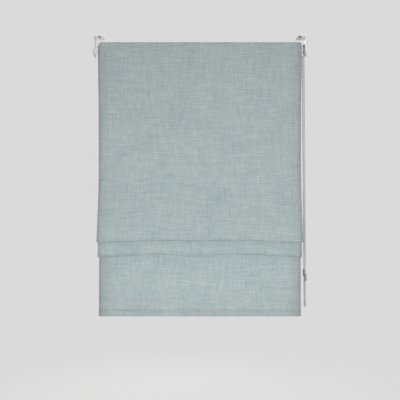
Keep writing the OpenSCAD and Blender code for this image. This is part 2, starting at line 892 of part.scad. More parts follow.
// Slotted sleeve that holds three beads of a run
module sleeve(side, bead) {
    inner = 2 * bead_pitch + bead_d + connector_slack;
    outer = inner + 2 * connector_lip;
    run_frame(side)
        translate([0, 0, bead * bead_pitch])
            difference() {
                translate([0, 0, -outer / 2])
                    cylinder(r = connector_r, h = outer);
                translate([0, 0, -inner / 2])
                    cylinder(r = bead_r + connector_slack, h = inner);
                translate([0, 0, -outer])
                    cylinder(r = link_d / 2 + connector_slack, h = 2 * outer);
                translate([0, -connector_slot / 2, -outer])
                    cube([2 * connector_r, connector_slot, 2 * outer]);
            }
}

module chain_connector() {
    color([0.42, 0.42, 0.43])
        sleeve(-1, connector_bead);
}

module chain_joiner() {
    color([0.42, 0.42, 0.43])
        sleeve(1, joiner_bead);
}

// Cord from its spool down into the cord stop
module lift_cord(x) {
    low = rod_z[2] - eye_d / 2 - stop_gap - cord_grip;
    translate([x, cord_y + cloth_gap, low])
        cylinder(d = cord_d, h = axis_z - low);
}

module left_lift_cord() {
    color([0.93, 0.93, 0.92])
        lift_cord(-cord_span);
}

module right_lift_cord() {
    color([0.93, 0.93, 0.92])
        lift_cord(cord_span);
}

module face_fabric() {
    color([0.66, 0.71, 0.71])
        along(2 * fabric_half)
            polygon(layer(face_path, 0, face_t));
}

module lining() {
    color([0.9, 0.89, 0.86]) {
        along(2 * lining_half)
            polygon(layer(lining_path, lining_off, lining_t));
        for (i = [0:2])
            translate([0, rod_y[i], rod_z[i]])
                difference() {
                    along(2 * lining_half)
                        difference() {
                            circle(r = pocket_r + lining_t);
                            circle(r = pocket_r);
                        }
                    for (s = [-1, 1])
                        translate([s * cord_span, 0, 0])
                            cube([window_w, 2 * pocket_r + 2 * overrun, 2 * pocket_mid], center = true);
                }
    }
}

// Rod in one of the pockets
module rod(i) {
    translate([-rod_half, rod_y[i], rod_z[i]])
        rotate([0, 90, 0])
            cylinder(d = rod_d, h = 2 * rod_half);
}

module upper_rod() {
    color([0.9, 0.9, 0.86])
        rod(0);
}

module middle_rod() {
    color([0.9, 0.9, 0.86])
        rod(1);
}

module lower_rod() {
    color([0.9, 0.9, 0.86])
        rod(2);
}

// Two rings on one rod, each with a collar and an eye for the cord
module rings(i) {
    for (s = [-1, 1])
        translate([s * cord_span, rod_y[i], rod_z[i]])
            difference() {
                union() {
                    rotate([0, 90, 0])
                        cylinder(r = rod_r + run_clear + collar_t, h = collar_w, center = true);
                    translate([-neck_w / 2, rod_r, -neck_h / 2])
                        cube([neck_w, eye_reach - eye_r - rod_r, neck_h]);
                    translate([0, eye_reach, 0])
                        rotate_extrude()
                            translate([eye_r, 0])
                                circle(d = eye_d);
                }
                rotate([0, 90, 0])
                    cylinder(r = rod_r + run_clear, h = 2 * collar_w, center = true);
            }
}

module upper_rings() {
    color([0.92, 0.92, 0.9])
        rings(0);
}

module middle_rings() {
    color([0.92, 0.92, 0.9])
        rings(1);
}

module lower_rings() {
    color([0.92, 0.92, 0.9])
        rings(2);
}

// Stop that ties a cord under the lower ring
module cord_stop(x) {
    high = rod_z[2] - eye_d / 2 - stop_gap;
    translate([x, cord_y + cloth_gap, high])
        difference() {
            union() {
                translate([0, 0, -stop_plate_t])
                    cylinder(r = stop_plate_r, h = stop_plate_t);
                translate([0, 0, -stop_len])
                    cylinder(r1 = stop_r * half, r2 = stop_r, h = stop_len);
            }
            translate([0, 0, -cord_grip - fit_gap])
                cylinder(r = cord_d / 2 + fit_gap, h = cord_grip + overrun);
        }
}

module left_cord_stop() {
    color([0.92, 0.92, 0.9])
        cord_stop(-cord_span);
}

module right_cord_stop() {
    color([0.92, 0.92, 0.9])
        cord_stop(cord_span);
}

// Rounded block along the bottom bar, larger than the bar by a margin
module bar_block(from, to, margin) {
    translate([(from + to) / 2, bar_y, bar_low + bar_h / 2])
        along(to - from)
            round_rect(bar_t + 2 * margin, bar_h + 2 * margin, bar_r + margin);
}

module bottom_bar() {
    color([0.8, 0.81, 0.82])
        bar_block(-bar_half, bar_half, 0);
}

// End cap over one end of the bottom bar
module bar_cap() {
    wall = bar_cap_t + bar_cap_clear;
    mouth = bar_half + bar_cap_clear - bar_cap_len;
    difference() {
        bar_block(mouth, bar_half + wall, wall);
        bar_block(mouth - overrun, bar_half + bar_cap_clear, bar_cap_clear);
    }
}

module left_bar_cap() {
    color([0.92, 0.92, 0.9])
        mirror([1, 0, 0])
            bar_cap();
}

module right_bar_cap() {
    color([0.92, 0.92, 0.9])
        bar_cap();
}

left_bracket();
right_bracket();
headrail();
hook_tape();
loop_tape();
left_end_cap();
shaft_bush();
control_housing();
control_cover();
clutch_spring();
left_cradle();
right_cradle();
drive_shaft();
chain_wheel();
left_spool();
right_spool();
bead_chain();
chain_connector();
chain_joiner();
left_lift_cord();
right_lift_cord();
face_fabric();
lining();
upper_rod();
middle_rod();
lower_rod();
upper_rings();
middle_rings();
lower_rings();
left_cord_stop();
right_cord_stop();
bottom_bar();
left_bar_cap();
right_bar_cap();
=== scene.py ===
"""Looks of a chain-operated roman blind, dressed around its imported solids. Sizes are in metres."""
import json
import logging
import math
from dataclasses import dataclass, field
from enum import Enum
from typing import Any, Dict, List, Optional, Sequence, Tuple, Union

import bpy
import numpy as np
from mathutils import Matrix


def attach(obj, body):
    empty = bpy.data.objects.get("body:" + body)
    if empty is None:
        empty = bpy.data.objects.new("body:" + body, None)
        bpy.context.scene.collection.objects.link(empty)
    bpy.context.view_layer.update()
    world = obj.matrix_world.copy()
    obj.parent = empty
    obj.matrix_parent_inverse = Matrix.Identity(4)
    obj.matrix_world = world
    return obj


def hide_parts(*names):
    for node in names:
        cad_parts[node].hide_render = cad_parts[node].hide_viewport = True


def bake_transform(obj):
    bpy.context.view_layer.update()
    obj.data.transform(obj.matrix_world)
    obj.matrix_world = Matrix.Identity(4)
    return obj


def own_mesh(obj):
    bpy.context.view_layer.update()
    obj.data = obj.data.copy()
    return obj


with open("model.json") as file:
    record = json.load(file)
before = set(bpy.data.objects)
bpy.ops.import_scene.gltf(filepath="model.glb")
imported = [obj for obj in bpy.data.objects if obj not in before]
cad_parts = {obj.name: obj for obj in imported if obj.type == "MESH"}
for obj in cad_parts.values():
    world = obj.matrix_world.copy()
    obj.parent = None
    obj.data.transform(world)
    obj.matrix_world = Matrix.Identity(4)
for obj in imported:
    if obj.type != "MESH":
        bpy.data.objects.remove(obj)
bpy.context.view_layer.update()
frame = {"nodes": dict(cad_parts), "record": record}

LOG = logging.getLogger("roman_blind")
MM = 0.001
Colour = Tuple[float, float, float]
Number = Union[int, float]


def srgb(r: Number, g: Number, b: Number) -> Colour:
    """Turns a colour written in 0 to 255 display values into linear light.

    Args:
        r: Red value.
        g: Green value.
        b: Blue value.

    Returns:
        The three linear values.
    """
    def line(c: Number) -> float:
        """Gives one linear value."""
        v = c / 255
        return v / 12.92 if v <= 0.04045 else ((v + 0.055) / 1.055) ** 2.4
    return line(r), line(g), line(b)


def smooth(u: np.ndarray) -> np.ndarray:
    """Gives a smooth step from 0 to 1, held outside that range.

    Args:
        u: The values that are stepped.

    Returns:
        The stepped values.
    """
    t = np.clip(u, 0, 1)
    return t * t * (3 - 2 * t)


class Along(Enum):
    """Direction in which a metal's drawing lines run."""

    WIDTH = 0
    DEPTH = 1
    HEIGHT = 2


class Side(Enum):
    """The two sides of the blind, with the sign of their places along the width."""

    LEFT = -1
    RIGHT = 1

    @property
    def word(self) -> str:
        """Gives the word that starts a piece's name on this side."""
        return self.name.lower()


class Sig:
    """A shader socket that takes part in Python expressions."""

    def __init__(self, graph: "Graph", socket: Any) -> None:
        """Keeps the socket and the graph that it belongs to."""
        self.graph = graph
        self.socket = socket

    def math(self, operation: str, other: Any = None, swapped: bool = False) -> "Sig":
        """Adds one Math node.

        Args:
            operation: The Math node's operation.
            other: The second value, if there is one.
            swapped: True if the other value comes first.

        Returns:
            The node's result.
        """
        pair = [self] if other is None else [other, self] if swapped else [self, other]
        return self.graph.node("ShaderNodeMath", {"operation": operation}, dict(enumerate(pair)))

    def __add__(self, other: Any) -> "Sig":
        """Sum."""
        return self.math("ADD", other)

    def __radd__(self, other: Any) -> "Sig":
        """Sum with a number first."""
        return self.math("ADD", other, True)

    def __sub__(self, other: Any) -> "Sig":
        """Difference."""
        return self.math("SUBTRACT", other)

    def __rsub__(self, other: Any) -> "Sig":
        """Difference with a number first."""
        return self.math("SUBTRACT", other, True)

    def __mul__(self, other: Any) -> "Sig":
        """Product."""
        return self.math("MULTIPLY", other)

    def __rmul__(self, other: Any) -> "Sig":
        """Product with a number first."""
        return self.math("MULTIPLY", other, True)

    def __pow__(self, other: Any) -> "Sig":
        """Power."""
        return self.math("POWER", other)

    def __rpow__(self, other: Any) -> "Sig":
        """Power of a number."""
        return self.math("POWER", other, True)

    def sin(self) -> "Sig":
        """Sine."""
        return self.math("SINE")

    def absolute(self) -> "Sig":
        """Size without its sign."""
        return self.math("ABSOLUTE")

    def ramp(self, low: float, high: float) -> "Sig":
        """Smooth step from 0 at low to 1 at high.

        Args:
            low: Value that gives 0.
            high: Value that gives 1.

        Returns:
            The stepped value.
        """
        settings = {"interpolation_type": "SMOOTHSTEP"}
        return self.graph.node("ShaderNodeMapRange", settings, {0: self, 1: low, 2: high, 3: 0.0, 4: 1.0})


class Graph:
    """A node tree whose nodes are added by expressions."""

    def __init__(self, tree: Any) -> None:
        """Takes over a node tree and empties it."""
        self.tree = tree
        self.tree.nodes.clear()

    def put(self, socket: Any, value: Any) -> None:
        """Links a signal to a socket, or sets a plain value on it.

        Args:
            socket: The socket that takes the value.
            value: A signal, a number or a tuple.
        """
        if isinstance(value, Sig):
            self.tree.links.new(value.socket, socket)
        else:
            socket.default_value = value

    def node(self, kind: str, settings: Optional[Dict[str, Any]] = None,
             inputs: Optional[Dict[Any, Any]] = None, out: Any = 0) -> Sig:
        """Adds any node.

        Args:
            kind: The node's type.
            settings: Properties that are set first.
            inputs: Values or signals of its sockets, by name or number.
            out: The output that is wanted.

        Returns:
            That output, or nothing to link if the node has none.
        """
        made = self.tree.nodes.new(kind)
        for key, value in (settings or {}).items():
            setattr(made, key, value)
        for key, value in (inputs or {}).items():
            self.put(made.inputs[key], value)
        return Sig(self, made.outputs[out] if made.outputs else None)

    def outputs(self, kind: str, inputs: Optional[Dict[Any, Any]] = None) -> Dict[str, Sig]:
        """Adds a node of which several outputs are wanted.

        Args:
            kind: The node's type.
            inputs: Values or signals of its sockets, by name or number.

        Returns:
            Its outputs by name.
        """
        first = self.node(kind, None, inputs)
        return {socket.name: Sig(self, socket) for socket in first.socket.node.outputs}

    def split(self, vector: Sig, scale: float = 1000.0) -> List[Sig]:
        """Takes a vector apart into its three values.

        Args:
            vector: The vector.
            scale: Factor on each value, which turns metres into millimetres.

        Returns:
            The three values.
        """
        return [part * scale for part in self.outputs("ShaderNodeSeparateXYZ", {0: vector}).values()]

    def place(self) -> List[Sig]:
        """Gives the place in the object's own frame, in millimetres."""
        return self.split(self.node("ShaderNodeTexCoord", out="Object"))

    def cloth(self) -> List[Sig]:
        """Gives the place on the flat cloth, in millimetres."""
        return self.split(self.node("ShaderNodeUVMap", {"uv_map": "cloth"}))

    def join(self, x: Any, y: Any, z: Any = 0.0) -> Sig:
        """Makes a vector of three values."""
        return self.node("ShaderNodeCombineXYZ", None, {0: x, 1: y, 2: z})

    def noise(self, vector: Sig, scale: float, detail: float = 2.0, rough: float = 0.5) -> Sig:
        """Soft noise from 0 to 1.

        Args:
            vector: Where it is read.
            scale: How fine it is.
            detail: Number of finer layers.
            rough: Strength of those layers.

        Returns:
            The noise.
        """
        return self.node("ShaderNodeTexNoise", {"noise_dimensions": "3D"},
                         {"Vector": vector, "Scale": scale, "Detail": detail, "Roughness": rough})

    def mix(self, share: Any, a: Any, b: Any) -> Sig:
        """Mixes two colours.

        Args:
            share: 0 gives the first, 1 the second.
            a: First colour.
            b: Second colour.

        Returns:
            The mixed colour.
        """
        def full(c: Any) -> Any:
            """Adds an alpha to a plain colour."""
            return c if isinstance(c, Sig) else (*c, 1.0)
        return self.node("ShaderNodeMix", {"data_type": "RGBA", "clamp_factor": True},
                         {0: share, 6: full(a), 7: full(b)}, 2)

    def shade(self, colour: Any, factor: Sig) -> Sig:
        """Multiplies a colour by one value.

        Args:
            colour: The colour.
            factor: The value.

        Returns:
            The darker or lighter colour.
        """
        grey = self.join(factor, factor, factor)
        base = colour if isinstance(colour, Sig) else (*colour, 1.0)
        return self.node("ShaderNodeMix", {"data_type": "RGBA", "blend_type": "MULTIPLY"},
                         {0: 1.0, 6: base, 7: grey}, 2)


class Surface(Graph):
    """A material with one plain surface shader."""

    def __init__(self, name: str) -> None:
        """Makes the material, its shader and its output.

        Args:
            name: The material's name.
        """
        self.material = bpy.data.materials.new(name)
        self.material.use_nodes = True
        super().__init__(self.material.node_tree)
        self.shader = self.node("ShaderNodeBsdfPrincipled")
        self.inputs = self.shader.socket.node.inputs
        self.node("ShaderNodeOutputMaterial", None, {0: self.shader})
        self.output = self.shader.socket.links[0].to_socket

    def bump(self, height: Sig, distance: float, strength: float = 1.0) -> None:
        """Raises the surface by a height.

        Args:
            height: The height, in units of distance.
            distance: Height of 1, in metres.
            strength: Share of the effect.
        """
        normal = self.node("ShaderNodeBump", None,
                           {"Strength": strength, "Distance": distance, "Height": height})
        self.put(self.inputs["Normal"], normal)

    def finish(self, colour: Any, roughness: Any, **sockets: Any) -> bpy.types.Material:
        """Sets the surface's main values.

        Args:
            colour: Base colour.
            roughness: Roughness.
            **sockets: Other sockets, with underscores for spaces.

        Returns:
            The material.
        """
        self.put(self.inputs["Base Color"], colour if isinstance(colour, Sig) else (*colour, 1.0))
        self.put(self.inputs["Roughness"], roughness)
        for name, value in sockets.items():
            self.put(self.inputs[name.replace("_", " ")], value)
        return self.material


@dataclass(frozen=True)
class Linen:
    """Plain woven, slubbed furnishing cloth with threads of two shades.

    Each set of threads has its fineness across, its fineness along and its skew. The side hems, edges, top
    edge, creases and hem pocket carry painted shade, and the cloth has a painted glow.
    """

    name: str = "face_linen"
    deep: Colour = srgb(146, 163, 165)
    pale: Colour = srgb(190, 199, 198)
    pitch: float = 0.95
    half_width: float = 285.0
    side_hem: float = 32.0
    rim: float = 19.0
    seam: float = 0.0
    top: float = 0.0
    creases: Tuple[float, ...] = ()
    # Painted glow: strength of light the cloth gives off though it is no lamp.
    painted_glow: float = 0.05
    wander: Tuple[float, float] = (0.02, 0.7)
    warp: Tuple[float, float, float] = (0.66, 0.036, 0.43)
    weft: Tuple[float, float, float] = (0.92, 0.030, 0.47)
    fine_warp: Tuple[float, float, float] = (2.1, 0.06, 0.7)
    fine_weft: Tuple[float, float, float] = (2.3, 0.05, 0.6)
    slub: Tuple[float, float] = (1.6, 1.9)
    fine: Tuple[float, float] = (0.85, 0.95)
    knit: float = 0.10
    cloud: float = 0.3
    # Painted shade: the side hems are darker, more so on the lower panel, standing for back light that passes
    # less through the doubled cloth.
    painted_hem_shade: float = 0.055
    painted_lower_hem_shade: float = 0.05
    # Painted shade: the cloth is darker towards its side edges.
    painted_edge_shade: float = 0.29
    # Painted shade: the cloth is darker along its top edge.
    painted_top_shade: float = 0.14
    # Painted shade: darker along the bottom of each fold, over the reach given below.
    painted_crease_shade: float = 0.19
    crease_reach: float = 13.0
    # Painted shade on the hem below its seam; the same value darkens the stitches, which are real.
    stitch_and_painted_hem_shade: float = 0.05
    stitch: float = 3.2

    def _threads(self, g: Graph, u: Sig, v: Sig) -> Tuple[Sig, Sig]:
        """Makes the uneven threads of the warp and the weft.

        Args:
            g: The material's graph.
            u: Place across the cloth.
            v: Place along the cloth.

        Returns:
            All threads together, and the coarse warp alone.
        """
        def place(size: Tuple[float, float, float], over: Sig, down: Sig, plain: Sig) -> Tuple[Sig, Sig]:
            """Gives a place across and along one set of threads."""
            return over * size[0], down * size[1] + plain * size[2]
        wander = (g.noise(g.join(u, v, 0.5), self.wander[0], 1.0) - 0.5) * self.wander[1]
        over, down = place(self.warp, u + wander, v, u)
        warp = g.noise(g.join(over, down, 0.37), 1.0, 2.5, 0.62)
        over, down = place(self.weft, v + wander, u, v)
        weft = g.noise(g.join(down, over, 7.41), 1.0, 2.5, 0.62)
        over, down = place(self.fine_warp, u, v, u)
        fine_warp = g.noise(g.join(over, down, 3.3), 1.0, 1.0)
        over, down = place(self.fine_weft, v, u, v)
        fine_weft = g.noise(g.join(down, over, 11.6), 1.0, 1.0)
        coarse = (warp - 0.5) * self.slub[0] + (weft - 0.5) * self.slub[1]
        return coarse + (fine_warp - 0.5) * self.fine[0] + (fine_weft - 0.5) * self.fine[1], warp

    def _painted_shade(self, u: Sig, v: Sig) -> Sig:
        """Gives the painted shade at the side hems, the side and top edges, the creases and the hem below its
        seam, as a share of the colour taken off.

        Args:
            u: Place across the cloth.
            v: Place along the cloth.

        Returns:
            The share.
        """
        out = u.absolute()
        inner = self.half_width - self.side_hem
        edge = out.ramp(self.half_width - self.rim, self.half_width + 2.0)
        # Painted shade: side hem bands darker, more so below the lowest crease.
        lower = (min(self.creases) - v).ramp(0.0, 30.0)
        hem = out.ramp(inner - 2.0, inner + 14.0) * (lower * self.painted_lower_hem_shade + self.painted_hem_shade)
        # Painted shade at the side edges.
        lost = hem + edge * edge * self.painted_edge_shade
        # Painted shade along the top edge.
        lost = lost + (1.0 - (v - self.top).absolute().ramp(0.5, 5.0)) * self.painted_top_shade
        # Painted shade along each crease.
        for crease in self.creases:
            lost = lost + (1.0 - (v - crease).absolute().ramp(1.0, self.crease_reach)) * self.painted_crease_shade
        # Painted shade on the hem below its seam.
        return lost + (self.seam - v).ramp(-4.0, 1.0) * self.stitch_and_painted_hem_shade

    def material(self) -> bpy.types.Material:
        """Makes the cloth's material.

        Returns:
            The material.
        """
        g = Surface(self.name)
        u, v, _ = g.cloth()
        threads, warp = self._threads(g, u, v)
        cloud = g.noise(g.join(u, v, 21.4), 0.011, 2.0)
        knit = (u * (math.pi / self.pitch)).sin() * (v * (math.pi / self.pitch)).sin()
        tone = threads + knit * self.knit + (cloud - 0.5) * self.cloud + 0.5
        dash = (u * (2 * math.pi / self.stitch)).sin().ramp(-0.75, -0.45)
        sewn = dash * (1.0 - (self.seam - v).absolute().ramp(0.25, 0.5))
        # Painted shade and the darker stitches, taken off the colour.
        light = 1.0 - self._painted_shade(u, v) - sewn * self.stitch_and_painted_hem_shade
        g.bump(threads * 0.5 + knit * 0.30 + sewn * 0.8, 0.45 * MM, 0.55)
        # Painted glow: a constant emission in the cloth's deep colour.
        return g.finish(g.shade(g.mix(tone, self.deep, self.pale), light), 0.86 + (warp - 0.5) * 0.10,
                        Sheen_Weight=0.12, Sheen_Roughness=0.6, Specular_IOR_Level=0.25,
                        Emission_Color=(*self.deep, 1.0), Emission_Strength=self.painted_glow)


@dataclass(frozen=True)
class PlainWeave:
    """Fine plain cloth of one shade, such as a lining or a tape."""

    name: str
    colour: Colour
    pitch: float
    contrast: float = 0.08
    # Painted glow: strength of light the cloth gives off though it is no lamp.
    flat_cloth: bool = True
    painted_glow: float = 0.0

    def material(self) -> bpy.types.Material:
        """Makes the cloth's material.

        Returns:
            The material.
        """
        g = Surface(self.name)
        if self.flat_cloth:
            u, v, _ = g.cloth()
        else:
            u, _, v = g.place()
        knit = (u * (math.pi / self.pitch)).sin() * (v * (math.pi / self.pitch)).sin()
        slub = g.noise(g.join(u * 0.02, v * 0.8), 1.0, 2.0)
        slub_up = g.noise(g.join(u * 0.8, v * 0.02, 5.0), 1.0, 2.0)
        tone = 1.0 + ((slub - 0.5) + (slub_up - 0.5)) * self.contrast * 1.6 + knit * self.contrast * 0.35
        g.bump(knit * 0.5 + slub * 0.3, 0.25 * MM, 0.5)
        # Painted glow: a constant emission in the cloth's own colour.
        return g.finish(g.shade(self.colour, tone), 0.9 - slub * 0.06,
                        Sheen_Weight=0.08, Specular_IOR_Level=0.25,
                        Emission_Color=(*self.colour, 1.0), Emission_Strength=self.painted_glow)


@dataclass(frozen=True)
class Moulded:
    """Moulded plastic with a fine grain and slight flow marks."""

    name: str
    colour: Colour
    roughness: float
    grain: float = 0.02
    grain_scale: float = 2600.0
    flow_scale: float = 60.0

    def material(self) -> bpy.types.Material:
        """Makes the plastic's material.

        Returns:
            The material.
        """
        g = Surface(self.name)
        place = g.node("ShaderNodeTexCoord", out="Object")
        flow = g.noise(place, self.flow_scale, 3.0)
        g.bump(g.noise(place, self.grain_scale, 2.0), self.grain * MM, 0.6)
        return g.finish(g.shade(self.colour, 0.97 + flow * 0.06), self.roughness + (flow - 0.5) * 0.14,
                        Specular_IOR_Level=0.5)


@dataclass(frozen=True)
class PowderCoat:
    """White powder coat with its fine orange peel."""

    name: str
    colour: Colour
    roughness: float = 0.38
    peel: float = 0.05
    peel_scale: float = 900.0
    cloud_scale: float = 35.0

    def material(self) -> bpy.types.Material:
        """Makes the coat's material.

        Returns:
            The material.
        """
        g = Surface(self.name)
        place = g.node("ShaderNodeTexCoord", out="Object")
        cloud = g.noise(place, self.cloud_scale, 3.0)
        g.bump(g.noise(place, self.peel_scale, 2.0), self.peel * MM, 0.5)
        return g.finish(g.shade(self.colour, 0.98 + cloud * 0.04), self.roughness + (cloud - 0.5) * 0.12,
                        Specular_IOR_Level=0.5)


@dataclass(frozen=True)
class DrawnMetal:
    """Bare or plated metal with faint drawing lines and dull patches."""

    name: str
    colour: Colour
    roughness: float
    along: Along = Along.WIDTH
    lines: float = 1.0
    across: float = 2.2
    lengthwise: float = 0.02
    patch_scale: float = 70.0

    def material(self) -> bpy.types.Material:
        """Makes the metal's material.

        Returns:
            The material.
        """
        g = Surface(self.name)
        drawn = [value * (self.lengthwise if i == self.along.value else self.across)
                 for i, value in enumerate(g.place())]
        streak = g.noise(g.join(*drawn), 1.0, 3.0)
        patch = g.noise(g.node("ShaderNodeTexCoord", out="Object"), self.patch_scale, 3.0)
        tone = 0.9 + streak * 0.12 * self.lines + patch * 0.08
        g.bump(streak, 0.02 * MM, 0.4 * self.lines)
        rough = self.roughness + (patch - 0.5) * 0.16 + (streak - 0.5) * 0.1 * self.lines
        return g.finish(g.shade(self.colour, tone), rough, Metallic=1.0)


@dataclass(frozen=True)
class Braid:
    """Round braided cord."""

    name: str
    colour: Colour
    round_count: float = 2.0
    advance: float = 2.4

    def material(self) -> bpy.types.Material:
        """Makes the cord's material.

        Returns:
            The material.
        """
        g = Surface(self.name)
        u, v, _ = g.cloth()
        left = (u * self.round_count + v * self.advance).sin()
        right = (u * self.round_count - v * self.advance).sin()
        ply = left * right
        g.bump(ply, 0.12 * MM, 0.6)
        return g.finish(g.shade(self.colour, 0.92 + ply * 0.08), 0.75 + ply * 0.05, Sheen_Weight=0.1)


@dataclass(frozen=True)
class GlassFibre:
    """Pultruded rod with lengthwise strands."""

    name: str
    colour: Colour
    across: float = 3.0
    lengthwise: float = 0.02

    def material(self) -> bpy.types.Material:
        """Makes the rod's material.

        Returns:
            The material.
        """
        g = Surface(self.name)
        x, y, z = g.place()
        strand = g.noise(g.join(x * self.lengthwise, y * self.across, z * self.across), 1.0, 3.0)
        g.bump(strand, 0.03 * MM, 0.5)
        return g.finish(g.shade(self.colour, 0.88 + strand * 0.2), 0.35 + strand * 0.2)


class Finishes:
    """Every finish of the blind, by the name of its material slot."""

    def __init__(self, line: "ClothLine") -> None:
        """Makes the materials.

        Args:
            line: The cloth's line, which says where its edges, creases and seam are.
        """
        made = [
            Linen(seam=line.seam(), top=line.top(), creases=line.creases()),
            # The lining gets a painted glow.
            PlainWeave("lining_cotton", srgb(232, 229, 220), 0.55, painted_glow=0.03),
            PlainWeave("hook_tape", srgb(228, 228, 224), 1.2, 0.2, False),
            PlainWeave("loop_tape", srgb(234, 234, 230), 1.6, 0.16, False),
            PowderCoat("white_steel", srgb(248, 248, 246)),
            PowderCoat("white_rail", srgb(233, 233, 231), 0.32),
            Moulded("white_plastic", srgb(236, 236, 234), 0.42),
            Moulded("natural_plastic", srgb(222, 221, 216), 0.45, 0.03),
            Moulded("spool_plastic", srgb(228, 227, 223), 0.4),
            Moulded("dark_plastic", srgb(62, 62, 64), 0.5),
            Moulded("ring_plastic", srgb(238, 237, 233), 0.28, 0.01),
            DrawnMetal("spring_steel", srgb(150, 150, 154), 0.32),
            DrawnMetal("shaft_steel", srgb(178, 180, 183), 0.36),
            DrawnMetal("chain_metal", srgb(174, 173, 171), 0.22, Along.HEIGHT, 0.3),
            DrawnMetal("connector_metal", srgb(118, 117, 116), 0.34, Along.HEIGHT, 0.6),
            DrawnMetal("bar_metal", srgb(205, 207, 209), 0.34),
            Braid("lift_cord", srgb(235, 235, 231)),
            GlassFibre("rod_fibre", srgb(226, 224, 208)),
        ]
        self.by_slot: Dict[str, bpy.types.Material] = {f.name: f.material() for f in made}

    def dress(self, obj: bpy.types.Object, slot: str) -> None:
        """Puts a finish on a piece.

        Args:
            obj: The piece.
            slot: The name of its material slot.
        """
        if obj.material_slots:
            for place in obj.material_slots:
                place.material = self.by_slot[slot]
        else:
            obj.data.materials.append(self.by_slot[slot])


class MeshBook:
    """Points, faces and cloth places of one mesh, gathered from several shapes."""

    def __init__(self) -> None:
        """Starts with nothing."""
        self.points: List[np.ndarray] = []
        self.faces: List[Tuple[int, ...]] = []
        self.flat: List[np.ndarray] = []
        self.count = 0

    def add(self, points: np.ndarray, faces: Sequence[Sequence[int]],
            flat: Optional[np.ndarray] = None) -> None:
        """Adds one shape.

        Args:
            points: Its points, in millimetres.
            faces: Its faces.
            flat: The place of each point on the flat cloth, in millimetres.
        """
        pts = np.asarray(points, float).reshape(-1, 3)
        self.points.append(pts)
        self.flat.append(pts[:, [0, 2]] if flat is None else np.asarray(flat, float).reshape(-1, 2))
        self.faces.extend(tuple(int(i) + self.count for i in f) for f in faces)
        self.count += len(pts)

    def grid(self, points: np.ndarray, flat: Optional[np.ndarray] = None, round_over: bool = False) -> None:
        """Adds a grid of quads.

        Args:
            points: Points in rows and columns, in millimetres.
            flat: Their places on the flat cloth.
            round_over: True if the last column joins the first.
        """
        n, m = points.shape[:2]
        last = m if round_over else m - 1
        faces = [(i * m + j, (i + 1) * m + j, (i + 1) * m + (j + 1) % m, i * m + (j + 1) % m)
                 for i in range(n - 1) for j in range(last)]
        self.add(points, faces, flat)

    def build(self, name: str) -> bpy.types.Object:
        """Makes the object, smooth shaded, with its cloth map.

        Args:
            name: The object's name.

        Returns:
            The object, in metres.
        """
        mesh = bpy.data.meshes.new(name)
        mesh.from_pydata((np.concatenate(self.points) * MM).tolist(), [], self.faces)
        flat = np.concatenate(self.flat) * MM
        layer = mesh.uv_layers.new(name="cloth")
        index = np.empty(len(mesh.loops), int)
        mesh.loops.foreach_get("vertex_index", index)
        layer.data.foreach_set("uv", flat[index].astype(np.float32).ravel())
        mesh.polygons.foreach_set("use_smooth", [True] * len(mesh.polygons))
        mesh.update()
        obj = bpy.data.objects.new(name, mesh)
        bpy.context.scene.collection.objects.link(obj)
        return obj


def arc(centre: np.ndarray, radius: float, start: float, end: float, steps: int) -> np.ndarray:
    """Points of an arc in depth and height.

    Args:
        centre: Its centre.
        radius: Its radius.
        start: First angle in degrees.
        end: Last angle in degrees.
        steps: Number of steps.

    Returns:
        The points.
    """
    a = np.radians(np.linspace(start, end, steps + 1))
    return np.stack([centre[0] + radius * np.cos(a), centre[1] + radius * np.sin(a)], 1)


@dataclass(frozen=True)
class EdgeSag:
    """How the two fold edges rise and droop along the width, in millimetres."""

    half_width: float = 285.0
    first_rise: float = 1.6
    first_droop: float = 5.2
    first_power: float = 1.7
    ripple: float = 0.5
    ripple_run: float = 47.0
    second_rise: float = 1.8
    second_crest: float = 128.0
    second_spread: float = 60.0
    second_droop: float = 6.4
    second_start: float = 150.0
    second_run: float = 150.0
    second_low: float = 0.2

    def heights(self, x: np.ndarray) -> np.ndarray:
        """Gives one row of heights for each fold edge.

        Args:
            x: Places along the width.

        Returns:
            The heights, above the straight edge.
        """
        out = np.abs(x)
        first = self.first_rise - self.first_droop * (out / self.half_width) ** self.first_power
        first -= self.ripple * np.cos(x / self.ripple_run)
        crest = self.second_rise * np.exp(-((out - self.second_crest) / self.second_spread) ** 2)
        droop = self.second_droop * smooth((out - self.second_start) / self.second_run)
        return np.stack([first, crest - droop - self.second_low])


